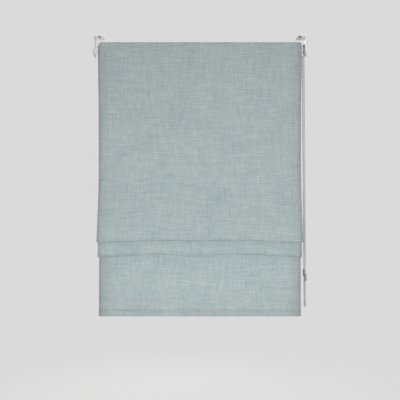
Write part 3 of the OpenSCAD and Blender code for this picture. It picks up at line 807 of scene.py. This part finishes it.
@dataclass
class ClothLine:
    """Middle line of the cloth in depth and height, in millimetres, as in the part's source."""

    fabric_top: float = -19.0
    rail_depth: float = 28.0
    tape: float = 1.0
    face_t: float = 0.9
    lining_t: float = 0.6
    gap: float = 0.05
    top_turn: float = 26.0
    lining_top: float = 30.0
    panel_start: float = 48.0
    panel_end: float = 190.0
    panel_power: float = 1.15
    first_rod: float = 386.0
    first_fold: float = 555.0
    step: float = 40.0
    reach: Tuple[float, float] = (42.0, 25.0)
    fold_r: Tuple[float, float] = (5.0, 4.0)
    crest_r: float = 1.9
    set_back: float = 1.2
    pocket_r: float = 3.0
    shown_drop: float = 771.0
    hem_reach: float = 3.0
    hem_height: float = 18.0
    leg_gap: float = 0.25
    bar_t: float = 3.0
    bar_h: float = 10.0
    bar_clear: float = 0.8
    cap_wall: float = 0.55
    hem_puff: float = 2.2
    puff_top: float = 21.5
    puff_run: float = 9.0
    puff_slack: float = 0.3
    crest_front: float = -1.0
    least_gap: float = 0.05
    spacing: float = 4.5
    curve_points: int = 60
    top_steps: int = 10
    fold_steps: int = 18
    crest_steps: int = 12
    hem_steps: int = 14
    points: np.ndarray = field(init=False)
    sway: np.ndarray = field(init=False)
    run: np.ndarray = field(init=False)
    puff: np.ndarray = field(init=False)
    parts: List[str] = field(init=False)

    def __post_init__(self) -> None:
        """Works out the line."""
        self.pocket_mid = self.pocket_r + self.lining_t / 2
        self.lining_off = self.face_t / 2 + self.gap + self.lining_t / 2
        self.back = self.lining_off + self.lining_t / 2
        self.rod_z = [self.fabric_top - self.first_rod - i * self.step for i in range(3)]
        hook = -self.rail_depth / 2
        loop = hook - self.tape - self.gap
        self.turn_y = loop - self.tape - self.gap - self.face_t / 2
        self.front_y = self.turn_y - self.face_t - 2 * self.gap
        self.panel_y = -self.set_back - self.pocket_mid - self.back
        self.hem_r = (self.bar_t + 2 * self.bar_clear + self.face_t) / 2
        self.hem_z = self.fabric_top - self.shown_drop + self.hem_r + self.face_t / 2
        self.hem_top = self.hem_z + self.hem_height - self.hem_r
        self.bar_y = -self.hem_reach + self.hem_r
        self._bend()
        self._space(self._stretches())
        self._loosen()

    def _bend(self) -> None:
        """Places the folds, the crests between them and the rods, and works out the slopes that join them."""
        crest_z = [z - self.pocket_mid - self.back - self.crest_r for z in self.rod_z]
        drop = [self.first_fold, self.first_fold + self.step]
        self.fold = [np.array([-self.reach[i] + self.fold_r[i],
                               self.fabric_top - drop[i] + self.fold_r[i] + self.face_t / 2])
                     for i in range(2)]

        def lean(a: np.ndarray, b: np.ndarray) -> float:
            """Tilt of a line in degrees."""
            return math.degrees(math.atan2(a[0] - b[0], a[1] - b[1]))

        def cross(a: np.ndarray, b: np.ndarray, r: float) -> float:
            """Turn of the crossing tangent in degrees."""
            return math.degrees(math.asin(r / float(np.linalg.norm(a - b))))
        middle = np.array([0.0, crest_z[1]])
        self.fall = lean(middle, self.fold[1]) + cross(middle, self.fold[1], self.crest_r + self.fold_r[1])
        turn = math.radians(self.fall)
        fall_top = crest_z[1] - self.crest_r * math.sin(turn)
        fall_y = self.crest_r * math.cos(turn) - (fall_top - self.rod_z[2]) * math.tan(turn)
        behind = self.back + self.pocket_r + self.lining_t + self.leg_gap
        self.rod_y = [-self.set_back, 0.0, fall_y + behind / math.cos(turn)]
        self.crest = [np.array([y, z]) for y, z in zip(self.rod_y, crest_z)]
        self.panel_tilt = math.degrees(math.atan(
            self.panel_power * (self.panel_y + self.reach[0]) / (self.rod_z[0] - self.fold[0][1])))
        self.rise = [lean(crest, fold) - cross(crest, fold, self.crest_r + fold_r)
                     for crest, fold, fold_r in zip(self.crest[1:], self.fold, self.fold_r)]

    def _stretches(self) -> List[Tuple[str, np.ndarray]]:
        """Draws the line's stretches in order, from the turn at the top to the hem.

        Returns:
            The name and the points of each stretch.
        """
        fold, crest, rise, fall = self.fold, self.crest, self.rise, self.fall
        half = (self.turn_y - self.front_y) / 2
        u = np.linspace(0, 1, self.curve_points)
        tilt = math.radians(self.panel_tilt)
        end = fold[0] + self.fold_r[0] * np.array([-math.cos(tilt), math.sin(tilt)])
        over = np.array([self.turn_y - half, self.fabric_top - half - self.face_t / 2])
        top = np.concatenate([
            [[self.turn_y, self.fabric_top - self.top_turn]],
            arc(over, half, 0, 180, self.top_steps),
            [[self.front_y, self.fabric_top - self.lining_top]]])
        panel = np.stack([self.front_y + (self.panel_y - self.front_y) * smooth(u),
                          self.fabric_top - self.panel_start - (self.panel_end - self.panel_start) * u], 1)
        flare = np.stack([self.panel_y + (end[0] - self.panel_y) * u ** self.panel_power,
                          self.rod_z[0] + (end[1] - self.rod_z[0]) * u], 1)
        self.flare_slope = (self.panel_y - float(end[0])) / (self.rod_z[0] - float(end[1]))
        hang = np.array([crest[2][0] + self.crest_r, crest[2][1]])
        lower = np.stack([hang[0] + (-self.hem_reach - hang[0]) * smooth(u),
                          hang[1] + (self.hem_top - hang[1]) * u], 1)
        hem = np.concatenate([
            arc(np.array([self.bar_y, self.hem_z]), self.hem_r, 180, 360, self.hem_steps),
            [[self.bar_y + self.hem_r, self.hem_z + 2 * self.cap_wall + self.bar_h + self.bar_clear / 2],
             [-self.hem_reach + self.face_t + self.gap, self.hem_top]]])
        first_r, second_r = self.fold_r
        return [("top", top), ("panel", panel), ("flare", flare),
                ("fold_1", arc(fold[0], first_r, 180 - self.panel_tilt, 360 - rise[0], self.fold_steps)),
                ("rise_1", arc(crest[1], self.crest_r, 180 - rise[0], -fall, self.crest_steps)),
                ("fold_2", arc(fold[1], second_r, 180 - fall, 360 - rise[1], self.fold_steps)),
                ("rise_2", arc(crest[2], self.crest_r, 180 - rise[1], 0, self.crest_steps)),
                ("lower", lower), ("hem", hem)]

    def _space(self, stretches: Sequence[Tuple[str, np.ndarray]]) -> None:
        """Joins the stretches and fills long gaps with evenly spaced points.

        Args:
            stretches: The name and the points of each stretch.
        """
        pts: List[np.ndarray] = []
        names: List[str] = []
        for name, stretch in stretches:
            for p in stretch:
                if pts:
                    gap = float(np.linalg.norm(p - pts[-1]))
                    if gap < self.least_gap:
                        continue
                    extra = int(gap // self.spacing)
                    first = pts[-1]
                    for k in range(extra):
                        pts.append(first + (p - first) * (k + 1) / (extra + 1))
                        names.append(name)
                pts.append(p)
                names.append(name)
        self.points = np.array(pts)
        self.parts = names
        steps = np.linalg.norm(np.diff(self.points, axis=0), axis=1)
        self.run = np.concatenate([[0.0], np.cumsum(steps)])

    def _loosen(self) -> None:
        """Says how far each point follows the two fold edges, and how far the hem puffs out there."""
        fold, crest = self.fold, self.crest
        low = self.rod_z[0]
        z = self.points[:, 1]
        sway = np.zeros((len(z), 2))
        tags = np.array(self.parts)
        first = np.isin(tags, ["flare", "fold_1", "rise_1"]) & (z < low)
        sway[first, 0] = smooth((low - z[first]) / (low - fold[0][1]))
        sway[(tags == "rise_1") & (self.points[:, 0] > self.crest_front), 0] = 0.0
        second = np.isin(tags, ["fold_2", "rise_2"]) & (z < crest[1][1])
        sway[second, 1] = smooth((crest[1][1] - z[second]) / (crest[1][1] - fold[1][1]))
        self.sway = sway
        above = z - (self.hem_z - self.hem_r - self.face_t / 2)
        outside = self.points[:, 0] < self.puff_slack - self.hem_reach
        front = (tags == "lower") | ((tags == "hem") & (z >= self.hem_z) & outside)
        self.puff = np.where(front, self.hem_puff * smooth((self.puff_top - above) / self.puff_run), 0.0)
        round_bar = (tags == "hem") & (z < self.hem_z)
        share = (self.bar_y + self.hem_r - self.points[:, 0]) / (2 * self.hem_r)
        self.puff[round_bar] = self.hem_puff * smooth(share[round_bar])

    def across(self) -> np.ndarray:
        """Works out the directions across the cloth.

        Returns:
            Unit directions from the face towards the lining.
        """
        d = np.empty_like(self.points)
        d[1:-1] = self.points[2:] - self.points[:-2]
        d[0] = self.points[1] - self.points[0]
        d[-1] = self.points[-1] - self.points[-2]
        d /= np.linalg.norm(d, axis=1)[:, None]
        return np.stack([-d[:, 1], d[:, 0]], 1)

    def seam(self) -> float:
        """Gives the hem's seam along the flat cloth, as its map counts it."""
        return -float(self.run[max(i for i, part in enumerate(self.parts) if part == "lower")])

    def top(self) -> float:
        """Gives the top edge along the flat cloth, as its map counts it."""
        return -float(self.run[int(np.argmax(self.points[:, 1]))])

    def creases(self) -> Tuple[float, ...]:
        """Finds the lowest place of each fold.

        Returns:
            Their places along the flat cloth, as its map counts them.
        """
        found = []
        for name in ("fold_1", "fold_2"):
            rows = [i for i, part in enumerate(self.parts) if part == name]
            found.append(-float(self.run[min(rows, key=lambda i: self.points[i, 1])]))
        return tuple(found)


@dataclass
class Cloth:
    """The face fabric and the lining, each one piece of cloth."""

    line: ClothLine
    finishes: Finishes
    half_width: float = 285.0
    lining_half: float = 255.0
    columns: int = 89
    lining_columns: int = 81
    edge_columns: Tuple[float, ...] = (0.0, 0.8, 4.0, 10.0, 19.0, 27.5, 28.5)
    hem_width: float = 28.0
    middle_inset: float = 36.0
    hem_back: float = 0.6
    cord_span: float = 135.0
    window: float = 14.0
    sag: EdgeSag = EdgeSag()
    still_top: Tuple[float, float] = (60.0, 120.0)
    still_hem: Tuple[float, float] = (30.0, 60.0)
    still_rod: float = 60.0
    waves: Tuple[Tuple[float, ...], ...] = ((0.7, 61.0, 190.0, 0.0), (0.4, 34.0, -260.0, 1.3))
    hem_waves: Tuple[Tuple[float, ...], ...] = ((0.22, 23.0, 0.0), (0.18, 61.0, 2.0))
    bow: float = 2.4
    bow_top: Tuple[float, float] = (50.0, 90.0)
    bow_low: Tuple[float, float] = (395.0, 180.0)
    corner: Tuple[float, float, float] = (6.5, 3.0, 13.0)
    corner_left: float = 0.02
    pocket_sides: int = 24
    pocket_step: float = 12.0
    pocket_wave: Tuple[float, float] = (0.02, 9.0)
    fold_start: float = -0.100
    fold_end: float = -0.399
    ease_run: float = 25.0

    def _surface(self, x: np.ndarray, rows: slice, offset: np.ndarray, eased: bool) -> np.ndarray:
        """Points of one side of a layer.

        Args:
            x: Places along the width.
            rows: The stretch of the line.
            offset: Distance towards the lining for each column.
            eased: True if the layer leans out gradually at the upper rod.

        Returns:
            Points in rows and columns.
        """
        pts = self.line.points[rows]
        normal = self.line.across()[rows]
        sway = self.line.sway[rows]
        run = self.line.run[rows]
        drop = sway @ self.sag.heights(x)
        tags = np.array(self.line.parts[rows])
        depth = self.line.fabric_top - pts[:, 1]
        free = np.isin(tags, ["panel", "flare", "fold_1", "lower"]).astype(float)
        free *= smooth((depth - self.still_top[0]) / self.still_top[1])
        free *= smooth((pts[:, 1] - self.line.hem_z - self.still_hem[0]) / self.still_hem[1])
        near_rod = np.min([np.abs(pts[:, 1] - z) for z in self.line.rod_z], axis=0)
        free *= smooth(near_rod / self.still_rod)
        wave = sum(size * np.sin(x[None, :] / across + run[:, None] / down + shift)
                   for size, across, down, shift in self.waves)
        swell = 1.0 + sum(size * np.sin(x / across + shift) for size, across, shift in self.hem_waves)
        puff = self.line.puff[rows][:, None] * swell[None, :]
        bow = np.where(np.isin(tags, ["panel", "flare"]), self.bow, 0.0)
        bow *= smooth((depth - self.bow_top[0]) / self.bow_top[1])
        bow *= smooth((pts[:, 1] + self.bow_low[0]) / self.bow_low[1])
        if eased:
            past = np.abs(self.line.rod_z[0] - pts[:, 1]) / self.ease_run
            ease = self.line.flare_slope * self.ease_run * np.log1p(np.exp(-past))
            bow += np.where(np.isin(tags, ["panel", "flare"]), ease, 0.0)
        wave = free[:, None] * wave - puff - bow[:, None]
        out = np.empty((len(pts), len(x), 3))
        out[:, :, 0] = self._corner(x[None, :], self.line.fabric_top - pts[:, 1:2])
        out[:, :, 1] = pts[:, 0:1] + normal[:, 0:1] * offset[None, :] + wave
        out[:, :, 2] = pts[:, 1:2] + normal[:, 1:2] * offset[None, :] + drop
        return out

    def _corner(self, x: np.ndarray, drop: np.ndarray) -> np.ndarray:
        """Takes the top corners in, as their turned-in cloth does.

        Args:
            x: Places along the width.
            drop: Depth of each row below the top edge.

        Returns:
            The places with the corners taken in.
        """
        left, right, height = self.corner
        cut = np.where(x < 0, left, right) * np.clip(1.0 - drop / height, 0, 1)
        limit = self.half_width - cut
        over = np.abs(x) - limit
        return np.where(over > 0, np.sign(x) * (limit + self.corner_left * over), x)

    def _layer(self, book: MeshBook, x: np.ndarray, rows: slice, front: np.ndarray, back: np.ndarray,
               eased: bool) -> None:
        """Adds a closed layer of cloth.

        Args:
            book: The mesh that it goes to.
            x: Places along the width.
            rows: The stretch of the line.
            front: Offset of its face for each column.
            back: Offset of its back for each column.
            eased: True if the layer leans out gradually at the upper rod.
        """
        a = self._surface(x, rows, front, eased)
        b = self._surface(x, rows, back, eased)
        run = self.line.run[rows]
        flat = np.empty(a.shape[:2] + (2,))
        flat[:, :, 0] = x[None, :]
        flat[:, :, 1] = -run[:, None]
        n, m = a.shape[:2]
        size = n * m
        faces: List[Tuple[int, ...]] = []
        for i in range(n - 1):
            for j in range(m - 1):
                p, q, r, s = i * m + j, (i + 1) * m + j, (i + 1) * m + j + 1, i * m + j + 1
                faces.append((p, q, r, s))
                faces.append((size + s, size + r, size + q, size + p))
        for i in range(n - 1):
            p, q = i * m, (i + 1) * m
            faces.append((q, p, size + p, size + q))
            p, q = i * m + m - 1, (i + 1) * m + m - 1
            faces.append((p, q, size + q, size + p))
        for j in range(m - 1):
            p, q = j, j + 1
            faces.append((p, q, size + q, size + p))
            p, q = size - m + j, size - m + j + 1
            faces.append((q, p, size + p, size + q))
        book.add(np.concatenate([a.reshape(-1, 3), b.reshape(-1, 3)]), faces,
                 np.concatenate([flat.reshape(-1, 2), flat.reshape(-1, 2)]))

    def face(self) -> bpy.types.Object:
        """Makes the face fabric with its side hems, folds and lower hem.

        Returns:
            The face fabric.
        """
        side = np.array(self.edge_columns) - self.half_width
        inner = self.half_width - self.middle_inset
        middle = np.linspace(-inner, inner, self.columns - 2 * len(side))
        x = np.concatenate([side, middle, -side[::-1]])
        t = self.line.face_t / 2
        hem = np.where(np.abs(x) > self.half_width - self.hem_width, self.line.face_t, 0.0)
        book = MeshBook()
        whole = slice(0, len(self.line.points))
        self._layer(book, x, whole, np.full_like(x, -t), t + hem * self.hem_back, True)
        obj = book.build("face_fabric_cloth")
        self.finishes.dress(obj, "face_linen")
        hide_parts("face_fabric")
        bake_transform(obj)
        return obj

    def lining(self) -> bpy.types.Object:
        """Makes the lining with its rod pockets.

        Returns:
            The lining.
        """
        heights = self.line.points[:, 1]
        start = self.line.fabric_top - self.line.lining_top + self.line.least_gap
        first = next(i for i in range(int(np.argmax(heights)), len(heights)) if heights[i] < start)
        last = max(i for i, part in enumerate(self.line.parts) if part == "lower")
        x = np.linspace(-self.lining_half, self.lining_half, self.lining_columns)
        off, t = self.line.lining_off, self.line.lining_t / 2
        book = MeshBook()
        lined = slice(first, last + 1)
        self._layer(book, x, lined, np.full_like(x, off - t), np.full_like(x, off + t), False)
        spans = [(-self.lining_half, -self.cord_span - self.window / 2),
                 (-self.cord_span + self.window / 2, self.cord_span - self.window / 2),
                 (self.cord_span + self.window / 2, self.lining_half)]
        for y, z in zip(self.line.rod_y, self.line.rod_z):
            for a, b in spans:
                self._pocket(book, y, z, a, b)
        obj = book.build("lining_cloth")
        self.finishes.dress(obj, "lining_cotton")
        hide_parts("lining")
        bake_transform(obj)
        return obj

    def _pocket(self, book: MeshBook, y: float, z: float, a: float, b: float) -> None:
        """Adds one stretch of a sewn rod pocket.

        Args:
            book: The mesh that it goes to.
            y: Depth of the rod.
            z: Height of the rod.
            a: Left end.
            b: Right end.
        """
        angle = np.linspace(0, 2 * math.pi, self.pocket_sides, endpoint=False)
        x = np.linspace(a, b, max(3, int((b - a) // self.pocket_step)))
        size, across = self.pocket_wave
        outer = self.line.pocket_r + self.line.lining_t
        inner = self.line.pocket_r
        rows = []
        for r, places in ((outer, x), (inner, x[::-1])):
            for k, place in enumerate(places):
                puff = 1.0 + size * math.sin(place / across) if 0 < k < len(places) - 1 else 1.0
                rows.append(np.stack([np.full_like(angle, place), y + r * puff * np.cos(angle),
                                      z + r * puff * np.sin(angle)], 1))
        rows.append(rows[0])
        ring = np.array(rows)
        flat = np.stack([ring[:, :, 0], np.broadcast_to(angle * outer, ring.shape[:2])], 2)
        book.grid(ring[:, ::-1], flat[:, ::-1], True)


@dataclass
class BeadChain:
    """The ball chain: two hanging runs, the turn over the wheel and the bend below."""

    finishes: Finishes
    wheel_x: float = 292.2
    axis_z: float = -37.0
    pitch: float = 6.0
    bead_r: float = 2.25
    link_r: float = 0.65
    wheel_beads: int = 12
    loop_beads: int = 10
    run_links: int = 119
    lean: float = 5.0
    rings: int = 9
    sides: int = 14

    def centres(self) -> np.ndarray:
        """Places the beads in order: down at the front, round the bend, up and over the wheel.

        Returns:
            Their centres, in millimetres.
        """
        wheel_r = self.pitch / 2 / math.sin(math.pi / self.wheel_beads)
        loop_r = self.pitch / 2 / math.sin(math.pi / self.loop_beads)
        length = self.run_links * self.pitch
        drop = math.sqrt(length ** 2 - (wheel_r - loop_r) ** 2 - self.lean ** 2)
        front = np.array([self.wheel_x, -wheel_r, self.axis_z])
        rear = np.array([self.wheel_x, wheel_r, self.axis_z])
        low = np.array([self.wheel_x + self.lean, 0.0, self.axis_z - drop])
        share = np.linspace(0, 1, self.run_links + 1)[:, None]
        down = front + (low + np.array([0, -loop_r, 0]) - front) * share
        up = low + np.array([0, loop_r, 0]) + (rear - low - np.array([0, loop_r, 0])) * share
        half = self.loop_beads // 2
        bend = [low + loop_r * np.array([0, math.cos(a), math.sin(a)])
                for a in (math.pi + math.pi * k / half for k in range(1, half))]
        steps = self.wheel_beads // 2
        over = [np.array([self.wheel_x, 0, self.axis_z]) + wheel_r * np.array([0, math.cos(a), math.sin(a)])
                for a in (math.pi * k / steps for k in range(1, steps))]
        return np.concatenate([down, bend, up, over])

    def make(self) -> bpy.types.Object:
        """Makes the chain and fixes it to the headrail.

        Returns:
            The chain.
        """
        centres = self.centres()
        tilt = np.linspace(0, math.pi, self.rings + 2)[1:-1]
        turn = np.linspace(0, 2 * math.pi, self.sides, endpoint=False)
        book = MeshBook()
        closed = np.concatenate([centres, centres[:1]])
        for k, c in enumerate(centres):
            towards = closed[k + 1] - c
            towards /= np.linalg.norm(towards)
            side = np.cross(towards, [1.0, 0.0, 0.0])
            side /= np.linalg.norm(side)
            other = np.cross(towards, side)
            spokes = np.array([math.cos(a) * side + math.sin(a) * other for a in turn])
            ball = np.array([c + self.bead_r * (math.cos(t) * towards + math.sin(t) * spokes) for t in tilt])
            book.grid(ball[::-1], None, True)
            book.add(ball[0], [tuple(range(self.sides))])
            book.add(ball[-1], [tuple(reversed(range(self.sides)))])
            along = (c, (c + closed[k + 1]) / 2, closed[k + 1])
            link = np.array([p + self.link_r * spokes[::2] for p in along])
            book.grid(link[::-1], None, True)
        obj = book.build("bead_chain_loop")
        self.finishes.dress(obj, "chain_metal")
        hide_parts("bead_chain")
        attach(obj, "headrail")
        return obj


@dataclass
class LiftCords:
    """The two lift cords and their turns on the spools."""

    finishes: Finishes
    span: float = 135.0
    cord_r: float = 0.6
    cord_y: float = 9.05
    axis_z: float = -37.0
    low: float = -494.2
    lift: float = 282.743
    wound_r: float = 9.05
    turns: int = 7
    lead: float = 0.03
    lay: float = 2.05
    sides: int = 10
    rows: int = 120
    wound_sides: int = 8
    turn_steps: int = 36

    def straight(self, side: Side) -> bpy.types.Object:
        """Makes one hanging cord.

        Args:
            side: The side of the blind.

        Returns:
            The cord.
        """
        name = side.word + "_lift_cord"
        x = side.value * self.span
        turn = np.linspace(0, 2 * math.pi, self.sides, endpoint=False)
        heights = np.linspace(self.axis_z, self.low, self.rows)
        rows = np.array([[(x + self.cord_r * math.cos(a), self.cord_y + self.cord_r * math.sin(a), z)
                          for a in turn] for z in heights])
        flat = np.stack([np.broadcast_to(turn, rows.shape[:2]), rows[:, :, 2]], 2)
        book = MeshBook()
        book.grid(rows, flat, True)
        obj = book.build(name + "_braid")
        self.finishes.dress(obj, "lift_cord")
        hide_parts(name)
        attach(obj, "headrail")
        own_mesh(obj)
        return obj

    def wound(self, side: Side) -> bpy.types.Object:
        """Makes the turns of cord on one spool.

        Args:
            side: The side of the blind.

        Returns:
            The winding.
        """
        name = side.word + "_cord_winding"
        angle = np.linspace(self.lead, 2 * math.pi * self.turns, self.turn_steps * self.turns + 1)
        turn = np.linspace(0, 2 * math.pi, self.wound_sides, endpoint=False)
        rows = []
        for a in angle:
            out = np.array([0.0, math.cos(a), math.sin(a)])
            advance = a / (2 * math.pi) * self.cord_r * self.lay
            c = np.array([side.value * self.span - advance, 0.0, self.axis_z])
            rows.append([c + out * (self.wound_r + self.cord_r * math.cos(b))
                         + np.array([self.cord_r * math.sin(b), 0, 0]) for b in turn])
        ring = np.array(rows)
        flat = np.stack([np.broadcast_to(turn, ring.shape[:2]),
                         np.broadcast_to((angle * self.wound_r)[:, None], ring.shape[:2])], 2)
        book = MeshBook()
        book.grid(ring, flat, True)
        obj = book.build(name)
        self.finishes.dress(obj, "lift_cord")
        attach(obj, "drive")
        return obj


@dataclass
class FixingScrews:
    """Pan-head screws under the top flanges of the two brackets."""

    finishes: Finishes
    place: Tuple[float, float] = (282.0, -12.0)
    flange: float = 2.0
    head_r: float = 4.1
    head_h: float = 2.7
    shank_r: float = 2.0
    core_r: float = 0.01
    crown: float = 0.45
    dome: float = 0.6
    dome_steps: int = 7
    recess: Tuple[Tuple[float, float], ...] = ((1.9, 0.0), (1.2, 0.9), (0.01, 1.3))
    arms: int = 4
    arm_depth: float = 0.45
    sides: int = 32

    def profile(self) -> List[Tuple[float, float]]:
        """Traces the screw from the top of its shank round to its recess.

        Returns:
            Radius and height of each point.
        """
        foot = -self.flange - self.head_h
        brim = -self.flange - self.head_h * (1.0 - self.dome)
        round_over = np.linspace(0, math.pi / 2, self.dome_steps)
        rim = [(self.head_r * (1.0 - self.crown + self.crown * math.cos(t)),
                brim - self.head_h * self.dome * math.sin(t)) for t in round_over]
        shank = [(self.core_r, 0.0), (self.shank_r, 0.0), (self.shank_r, -self.flange)]
        return [*shank, (self.head_r, -self.flange), *rim, *((r, foot + deep) for r, deep in self.recess)]

    def make(self, side: Side) -> bpy.types.Object:
        """Makes the screw in one bracket's front hole, with a cross recess below.

        Args:
            side: The side of the blind.

        Returns:
            The screw.
        """
        turn = np.linspace(0, 2 * math.pi, self.sides, endpoint=False)
        profile = self.profile()
        rows = []
        for k, (r, z) in enumerate(profile):
            cross = k == len(profile) - 2
            out = r * (1.0 + self.arm_depth * np.cos(self.arms * turn) * cross)
            rows.append(np.stack([out * np.cos(turn), out * np.sin(turn), np.full_like(turn, z)], 1))
        book = MeshBook()
        book.grid(np.array(rows), None, True)
        obj = book.build(side.word + "_screw")
        obj.location = (side.value * self.place[0] * MM, self.place[1] * MM, 0)
        self.finishes.dress(obj, "connector_metal")
        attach(obj, "headrail")
        return obj


@dataclass(frozen=True)
class Lamp:
    """One soft lamp: where it stands, the point it faces, its width and height, and its watts."""

    name: str
    place: Tuple[float, float, float]
    aim: Tuple[float, float, float]
    size: Tuple[float, float]
    power: float

    def hang(self) -> None:
        """Adds the lamp to the scene, out of the camera's sight."""
        data = bpy.data.lights.new(self.name, "AREA")
        data.shape = "RECTANGLE"
        data.size, data.size_y = self.size
        data.energy = self.power
        lamp = bpy.data.objects.new(self.name, data)
        lamp.location = self.place
        lamp.visible_camera = False
        x, y, z = np.array(self.aim) - np.array(self.place)
        lamp.rotation_euler = (math.atan2(math.hypot(x, y), -z), 0, math.atan2(x, -y) + math.pi)
        bpy.context.scene.collection.objects.link(lamp)


@dataclass
class Studio:
    """Camera, lights, floor and pale surroundings."""

    distance: float = 1.6
    plane_y: float = -0.018
    centre: Tuple[float, float] = (0.0005, -0.4608)
    frame_width: float = 1.12
    sensor: float = 36.0
    pale: float = 0.70
    ambient: float = 0.25
    floor_z: float = -1.12
    floor_half: float = 3.0
    floor_grey: float = 0.34
    floor_glow: float = 0.78
    floor_fade: Tuple[float, float] = (0.4, 1.0)
    lamps: Tuple[Lamp, ...] = (
        Lamp("key", (0.0, -2.7, -0.22), (0, 0, -0.5), (0.5, 0.5), 18.4),
        Lamp("fill", (-0.05, -1.32, -0.73), (0, 0, 0.12), (0.8, 0.8), 4.7),
        Lamp("low", (0.0, -0.47, -0.76), (0, 0, 0.07), (1.4, 0.2), 1.45),
        Lamp("side", (1.7, -1.0, 0.5), (0, 0, -0.3), (1.0, 1.0), 4.0),
        Lamp("rear", (-0.8, 1.9, 0.2), (0, 0, -0.4), (1.4, 1.4), 18.0),
    )

    def camera(self) -> None:
        """Sets the camera straight in front of the blind, level, at the height of the picture's middle."""
        data = bpy.data.cameras.new("camera")
        data.sensor_width = self.sensor
        data.lens = self.sensor * self.distance / self.frame_width
        cam = bpy.data.objects.new("camera", data)
        cam.location = (self.centre[0], self.plane_y - self.distance, self.centre[1])
        cam.rotation_euler = (math.radians(90), 0, 0)
        bpy.context.scene.collection.objects.link(cam)
        bpy.context.scene.camera = cam

    def surroundings(self) -> None:
        """Makes the pale world, which looks the same to the camera and in reflections."""
        world = bpy.data.worlds.new("studio")
        world.use_nodes = True
        g = Graph(world.node_tree)
        soft = g.node("ShaderNodeBackground", None, {0: (1.0, 1.0, 1.0, 1.0), 1: self.ambient})
        seen = g.node("ShaderNodeBackground", None, {0: (self.pale, self.pale, self.pale, 1.0), 1: 1.0})
        ray = g.outputs("ShaderNodeLightPath")
        share = ray["Is Camera Ray"]
        for kind in ("Is Glossy Ray", "Is Transmission Ray"):
            share = share.math("MAXIMUM", ray[kind])
        mixed = g.node("ShaderNodeMixShader", None, {0: share, 1: soft, 2: seen})
        g.node("ShaderNodeOutputWorld", None, {0: mixed})
        bpy.context.scene.world = world

    def floor(self) -> None:
        """Makes a pale floor that fades out into the surroundings."""
        mesh = bpy.data.meshes.new("floor")
        r = self.floor_half
        mesh.from_pydata([(-r, -r, 0), (r, -r, 0), (r, r, 0), (-r, r, 0)], [], [(0, 1, 2, 3)])
        obj = bpy.data.objects.new("floor", mesh)
        obj.location = (0, 0, self.floor_z)
        bpy.context.scene.collection.objects.link(obj)
        g = Surface("floor_pale")
        x, y, _ = g.split(g.node("ShaderNodeTexCoord", out="Object"), 1.0)
        away = (x * x + y * y) ** 0.5
        grain = g.noise(g.join(x, y), 40.0, 2.0)
        g.finish(g.shade((self.floor_grey,) * 3, 0.99 + grain * 0.02), 0.9, Specular_IOR_Level=0.1,
                 Emission_Color=(self.pale, self.pale, self.pale, 1.0), Emission_Strength=self.floor_glow)
        clear = g.node("ShaderNodeBsdfTransparent")
        fade = away.ramp(*self.floor_fade)
        g.put(g.output, g.node("ShaderNodeMixShader", None, {0: fade, 1: g.shader, 2: clear}))
        mesh.materials.append(g.material)

    def build(self) -> None:
        """Builds the whole studio."""
        bpy.context.scene.view_settings.view_transform = "Standard"
        self.surroundings()
        self.floor()
        for lamp in self.lamps:
            lamp.hang()


@dataclass
class Fittings:
    """The solids that keep their own shape and only take a finish."""

    finishes: Finishes
    replaced: Tuple[str, ...] = ("face_fabric", "lining", "bead_chain", "left_lift_cord", "right_lift_cord")

    def dress(self) -> int:
        """Dresses every remaining solid in its finish.

        Returns:
            The number of dressed solids.
        """
        done = 0
        for part in frame["record"]["subparts"]:
            node = part["node"]
            if node not in self.replaced:
                self.finishes.dress(frame["nodes"][node], part["material_slot"])
                LOG.info("%s: %s", node, part["material_slot"])
                done += 1
        return done


def main() -> None:
    """Builds the camera, the chain, the cloth, the cords, the screws, the fittings and the studio, and logs
    what it makes.
    """
    logging.basicConfig(level=logging.INFO, format="%(name)s: %(message)s")
    studio = Studio()
    studio.camera()
    line = ClothLine()
    finishes = Finishes(line)
    chain = BeadChain(finishes).make()
    LOG.info("%s: %d points", chain.name, len(chain.data.vertices))
    cloth = Cloth(line, finishes)
    for piece in (cloth.face(), cloth.lining()):
        LOG.info("%s: %d points", piece.name, len(piece.data.vertices))
    cords = LiftCords(finishes)
    for side in Side:
        LOG.info("%s and %s", cords.straight(side).name, cords.wound(side).name)
    screws = FixingScrews(finishes)
    LOG.info("%s and %s", *(screws.make(side).name for side in Side))
    LOG.info("dressed %d solids", Fittings(finishes).dress())
    studio.build()


if __name__ == "__main__":
    main()
